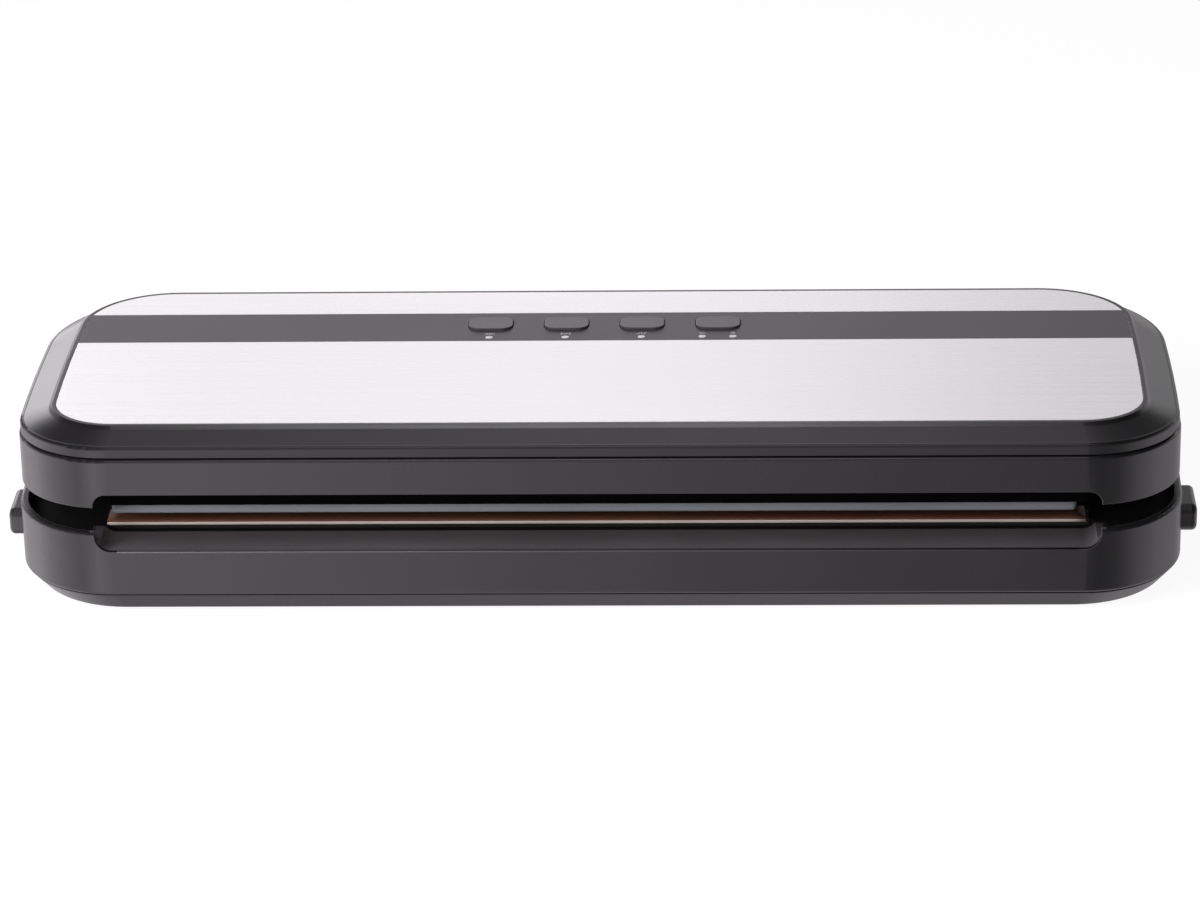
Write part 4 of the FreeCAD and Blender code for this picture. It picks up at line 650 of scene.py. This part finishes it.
# The button that each figure belongs to, how far to its side it stands, and its lines
figures = {
    "squeezeMark": ("vacuum_seal_button", 0.0, [
        [(-1.6, 0), (-0.5, 0)], [(-0.9, 0.4), (-0.5, 0), (-0.9, -0.4)], [(0, 0.8), (0, -0.8)],
        [(1.6, 0), (0.5, 0)], [(0.9, 0.4), (0.5, 0), (0.9, -0.4)]]),
    "weldMark": ("seal_button", 0.0, [
        [(-1.4, 0.8), (-1.4, -0.8)], [(1.4, 0.8), (1.4, -0.8)],
        [(-1.0, 0), (-0.5, 0.5), (0, -0.5), (0.5, 0.5), (1.0, 0)]]),
    "pulseMark": ("pulse_button", 0.0, [
        [(-1.6, -0.6), (-0.9, -0.6), (-0.9, 0.7), (0, 0.7), (0, -0.6), (0.9, -0.6), (0.9, 0.7), (1.6, 0.7)]]),
    "dryMark": ("food_mode_button", -5.0, [
        [polar(0.45, a) for a in arc16], *[[polar(0.65, a), polar(0.95, a)] for a in arc16[:16:2]]]),
    "moistMark": ("food_mode_button", 5.0, [
        [(0, 0.95), (0.55, 0.0), (0.5, -0.35), (0.25, -0.6), (0, -0.68), (-0.25, -0.6), (-0.5, -0.35),
         (-0.55, 0.0), (0, 0.95)]]),
}


def strokeMesh(name, lines, centre):
    half = symbols["stroke"] / 2
    shape = bmesh.new()
    for line in lines:
        for (ax, ay), (bx, by) in zip(line, line[1:]):
            length = math.hypot(bx - ax, by - ay)
            dx, dy = (bx - ax) / length * half, (by - ay) / length * half
            outline = [
                (ax - dx - dy, ay - dy + dx), (ax - dx + dy, ay - dy - dx),
                (bx + dx + dy, by + dy - dx), (bx + dx - dy, by + dy + dx)]
            rings = []
            for rise in (0.0, symbols["rise"]):
                corners = [centre + Vector((u, v, rise)) * mm for u, v in outline]
                rings.append([shape.verts.new(swingUp @ corner) for corner in corners])
            shape.faces.new(rings[1])
            for k in range(4):
                n = (k + 1) % 4
                shape.faces.new((rings[0][k], rings[0][n], rings[1][n], rings[1][k]))
    bmesh.ops.recalc_face_normals(shape, faces=shape.faces)
    mesh = bpy.data.meshes.new(name)
    shape.to_mesh(mesh)
    shape.free()
    piece = bpy.data.objects.new(name, mesh)
    bpy.context.scene.collection.objects.link(piece)
    return piece


def figureCentre(button, aside):
    buttonLow, buttonHigh = shutBox(button)
    lensLow, lensHigh = shutBox("indicator_lenses")
    x = (buttonLow.x + buttonHigh.x) / 2 + aside * mm
    y = (lensLow.y + lensHigh.y) / 2 + symbols["behind"] * mm
    return Vector((x, y, shutBox("control_panel")[1].z))


inkLook = dict(colour=symbols["colour"], rough=0.5, grain=0.1, grainSize=0.3, edge=0.02, highlightShare=0.0)
ink = mouldedPlastic("finish_ink", inkLook)
for figureName, (button, aside, lines) in figures.items():
    finishPiece(strokeMesh(figureName, lines, figureCentre(button, aside)), "lid", "panel", ink)
print("printed symbols done")


# Floor, studio surround and soft lamps
floorLook = dict(size=8.0, colour=(0.16, 0.16, 0.16), rough=0.9, lift=0.925)


def paleFloor():
    half = floorLook["size"] / 2
    rows = [[Vector((x, y, 0)) for x in (-half, half)] for y in (-half, half)]
    floor = gridMesh("floor", rows, False, False)
    material, tree, shader = newMaterial("finish_floor")
    place = put(tree, "TexCoord").outputs["Object"]
    mottle = put(tree, "TexNoise", Vector=place, Scale=3.0, Detail=3.0)
    tone = patterned(tree, mottle.outputs["Fac"], floorLook["colour"], 0.97, 1.0)
    link(tree, tone, shader, "Base Color")
    shader.inputs["Roughness"].default_value = floorLook["rough"]
    shader.inputs["Specular IOR Level"].default_value = 0.0
    path = put(tree, "LightPath").outputs
    glow = put(tree, "Emission", Color=(1, 1, 1, 1))
    lift = put(tree, "Math", {"operation": "MULTIPLY"})
    link(tree, path["Is Camera Ray"], lift, 0)
    lift.inputs[1].default_value = floorLook["lift"]
    link(tree, lift.outputs["Value"], glow, "Strength")
    both = put(tree, "AddShader")
    link(tree, shader.outputs["BSDF"], both, 0)
    link(tree, glow.outputs["Emission"], both, 1)
    link(tree, both.outputs["Shader"], tree.nodes["Material Output"], "Surface")
    floor.data.materials.append(material)
    floor.visible_glossy = floor.visible_transmission = False  # reflections meet the surround's own floor


# What shiny surfaces see: levels by direction, left to right or, for the table, round the part
# (0 left-rear, 0.5 front, 1 right-rear)
# The edges say between which heights or depths one region turns into the next
surround = dict(
    ambient=0.16,
    rearEdge=(-0.3, 0.3), skyEdge=(0.36, 0.47), tableEdge=(-0.95, -0.7), horizon=(-0.1, 0.1),
    rear=[
        (0.0, 0.8), (0.24, 0.85), (0.285, 2.9), (0.355, 2.9), (0.39, 1.35), (0.42, 0.68), (0.45, 0.97),
        (0.495, 1.14), (0.51, 0.93), (0.527, 0.62), (0.55, 0.4), (0.6, 0.8), (0.75, 0.9), (1.0, 0.5)],
    front=[(0.0, 0.6), (0.4, 0.9), (0.48, 0.9), (0.505, 0.4), (0.52, 0.06), (1.0, 0.08)],
    table=[
        (0.0, 0.8), (0.12, 1.0), (0.21, 2.3), (0.30, 1.95), (0.34, 1.7), (0.385, 1.25), (0.435, 2.7),
        (0.46, 2.1), (0.478, 2.4), (0.486, 1.9), (0.493, 0.75), (0.501, 0.55), (0.506, 0.85), (0.5095, 0.42),
        (0.516, 0.3), (0.53, 0.2), (0.56, 0.25), (0.615, 0.42), (0.683, 1.15), (0.764, 1.35), (0.872, 0.57),
        (1.0, 0.5)],
    overhead=[
        (0.3, 0.03), (0.4, 0.15), (0.43, 0.55), (0.45, 0.75), (0.487, 1.25), (0.51, 1.0), (0.527, 0.75),
        (0.55, 0.2), (0.7, 0.03)],
    below=1.0,
    tint=(1.0, 0.95, 1.0),
    rearTint=(1.0, 0.975, 1.0),
)


def levels(tree, factor, stops, tint=(1, 1, 1)):
    node = put(tree, "ValToRGB", Fac=factor)
    marks = node.color_ramp.elements
    for k, (at, level) in enumerate(stops):
        mark = marks[k] if k < 2 else marks.new(at)
        mark.position, mark.color = at, (*[level * t for t in tint], 1)
    return node.outputs["Color"]


def between(tree, value, edge, first, second):
    low, high = surround[edge]
    eased = {"interpolation_type": "SMOOTHSTEP"}
    share = put(tree, "MapRange", eased, Value=value, From_Min=low, From_Max=high)
    return put(tree, "MixRGB", Fac=share.outputs["Result"], Color1=first, Color2=second).outputs["Color"]


def studioWorld():
    world = bpy.data.worlds.new("studio")
    bpy.context.scene.world = world
    world.use_nodes = True
    tree = world.node_tree
    tree.nodes.clear()
    axes = put(tree, "SeparateXYZ", Vector=put(tree, "TexCoord").outputs["Generated"]).outputs
    across = put(tree, "MapRange", Value=axes["X"], From_Min=-1.0, From_Max=1.0).outputs["Result"]
    turned = put(tree, "Math", {"operation": "MULTIPLY"})
    link(tree, axes["Y"], turned, 0)
    turned.inputs[1].default_value = -1.0
    around = put(tree, "Math", {"operation": "ARCTAN2"})
    link(tree, axes["X"], around, 0)
    link(tree, turned.outputs["Value"], around, 1)
    bearing = put(tree, "MapRange", Value=around.outputs["Value"], From_Min=-math.pi, From_Max=math.pi)
    tint = surround["tint"]
    ahead = levels(tree, across, surround["front"], tint)
    behind = levels(tree, across, surround["rear"], surround["rearTint"])
    walls = between(tree, axes["Y"], "rearEdge", ahead, behind)
    sky = between(tree, axes["Z"], "skyEdge", walls, levels(tree, across, surround["overhead"], tint))
    near = (*[surround["below"] * t for t in tint], 1)
    far = levels(tree, bearing.outputs["Result"], surround["table"], tint)
    table = between(tree, axes["Z"], "tableEdge", near, far)
    room = between(tree, axes["Z"], "horizon", table, sky)
    path = put(tree, "LightPath").outputs
    mirror = put(tree, "Math", {"operation": "MAXIMUM"})
    link(tree, path["Is Glossy Ray"], mirror, 0)
    link(tree, path["Is Transmission Ray"], mirror, 1)
    seen = put(tree, "Math", {"operation": "MAXIMUM"})
    link(tree, path["Is Camera Ray"], seen, 0)
    link(tree, mirror.outputs["Value"], seen, 1)
    backdrop = put(tree, "MixRGB", Fac=mirror.outputs["Value"], Color1=(1, 1, 1, 1), Color2=room)
    shown = put(tree, "Background", Color=backdrop.outputs["Color"], Strength=1.0)
    ambient = put(tree, "Background", Color=(1, 1, 1, 1), Strength=surround["ambient"])
    mix = put(tree, "MixShader", Fac=seen.outputs["Value"])
    link(tree, ambient.outputs["Background"], mix, 1)
    link(tree, shown.outputs["Background"], mix, 2)
    output = put(tree, "OutputWorld")
    link(tree, mix.outputs["Shader"], output, "Surface")


lamps = {
    "keyLamp": dict(place=(-0.7, -0.6, 0.45), size=(0.5, 0.6), power=12.5, shine=False),
    "fillLamp": dict(place=(0.9, -1.2, 0.7), size=(0.8, 0.8), power=2.0, shine=False),
    "topLamp": dict(place=(-0.06, -0.45, 1.15), size=(0.38, 0.3), power=1.2, shine=True),
}


def softLamp(name, look):
    data = bpy.data.lights.new(name, "AREA")
    data.shape, data.energy = "RECTANGLE", look["power"]
    data.size, data.size_y = look["size"]
    lamp = bpy.data.objects.new(name, data)
    lamp.location = look["place"]
    lamp.rotation_mode = "QUATERNION"
    lamp.rotation_quaternion = (-Vector(look["place"])).to_track_quat("-Z", "Y")
    lamp.visible_camera = False
    lamp.visible_glossy = look["shine"]
    bpy.context.scene.collection.objects.link(lamp)


paleFloor()
studioWorld()
for lampName, lampLook in lamps.items():
    softLamp(lampName, lampLook)
print("floor and light done")


# Camera at the photograph's angle, worked out for a frame 1200 pixels wide
shot = dict(
    focal=4528.9, width=1200, sensor=36.0, distance=1.47704, pitch=0.42013, yaw=-0.04173, roll=-0.02093,
    aim=(-0.001128, 0.0, 0.025022), reach=50.0)


def shotCamera():
    data = bpy.data.cameras.new("shot")
    data.sensor_width = shot["sensor"]
    data.lens = data.sensor_width * shot["focal"] / shot["width"]
    camera = bpy.data.objects.new("shot", data)
    bpy.context.scene.collection.objects.link(camera)
    p, w, r = shot["pitch"], shot["yaw"], shot["roll"]
    ahead = Vector((math.sin(w) * math.cos(p), math.cos(w) * math.cos(p), -math.sin(p)))
    level = Vector((math.cos(w), -math.sin(w), 0))
    above = level.cross(ahead)
    right = level * math.cos(r) + above * math.sin(r)
    up = above * math.cos(r) - level * math.sin(r)
    turn = Matrix((right, up, -ahead)).transposed().to_4x4()
    camera.matrix_world = Matrix.Translation(Vector(shot["aim"]) - ahead * shot["distance"]) @ turn
    data.clip_end = shot["reach"]
    bpy.context.scene.camera = camera


shotCamera()
bpy.context.scene.view_settings.view_transform = "Standard"
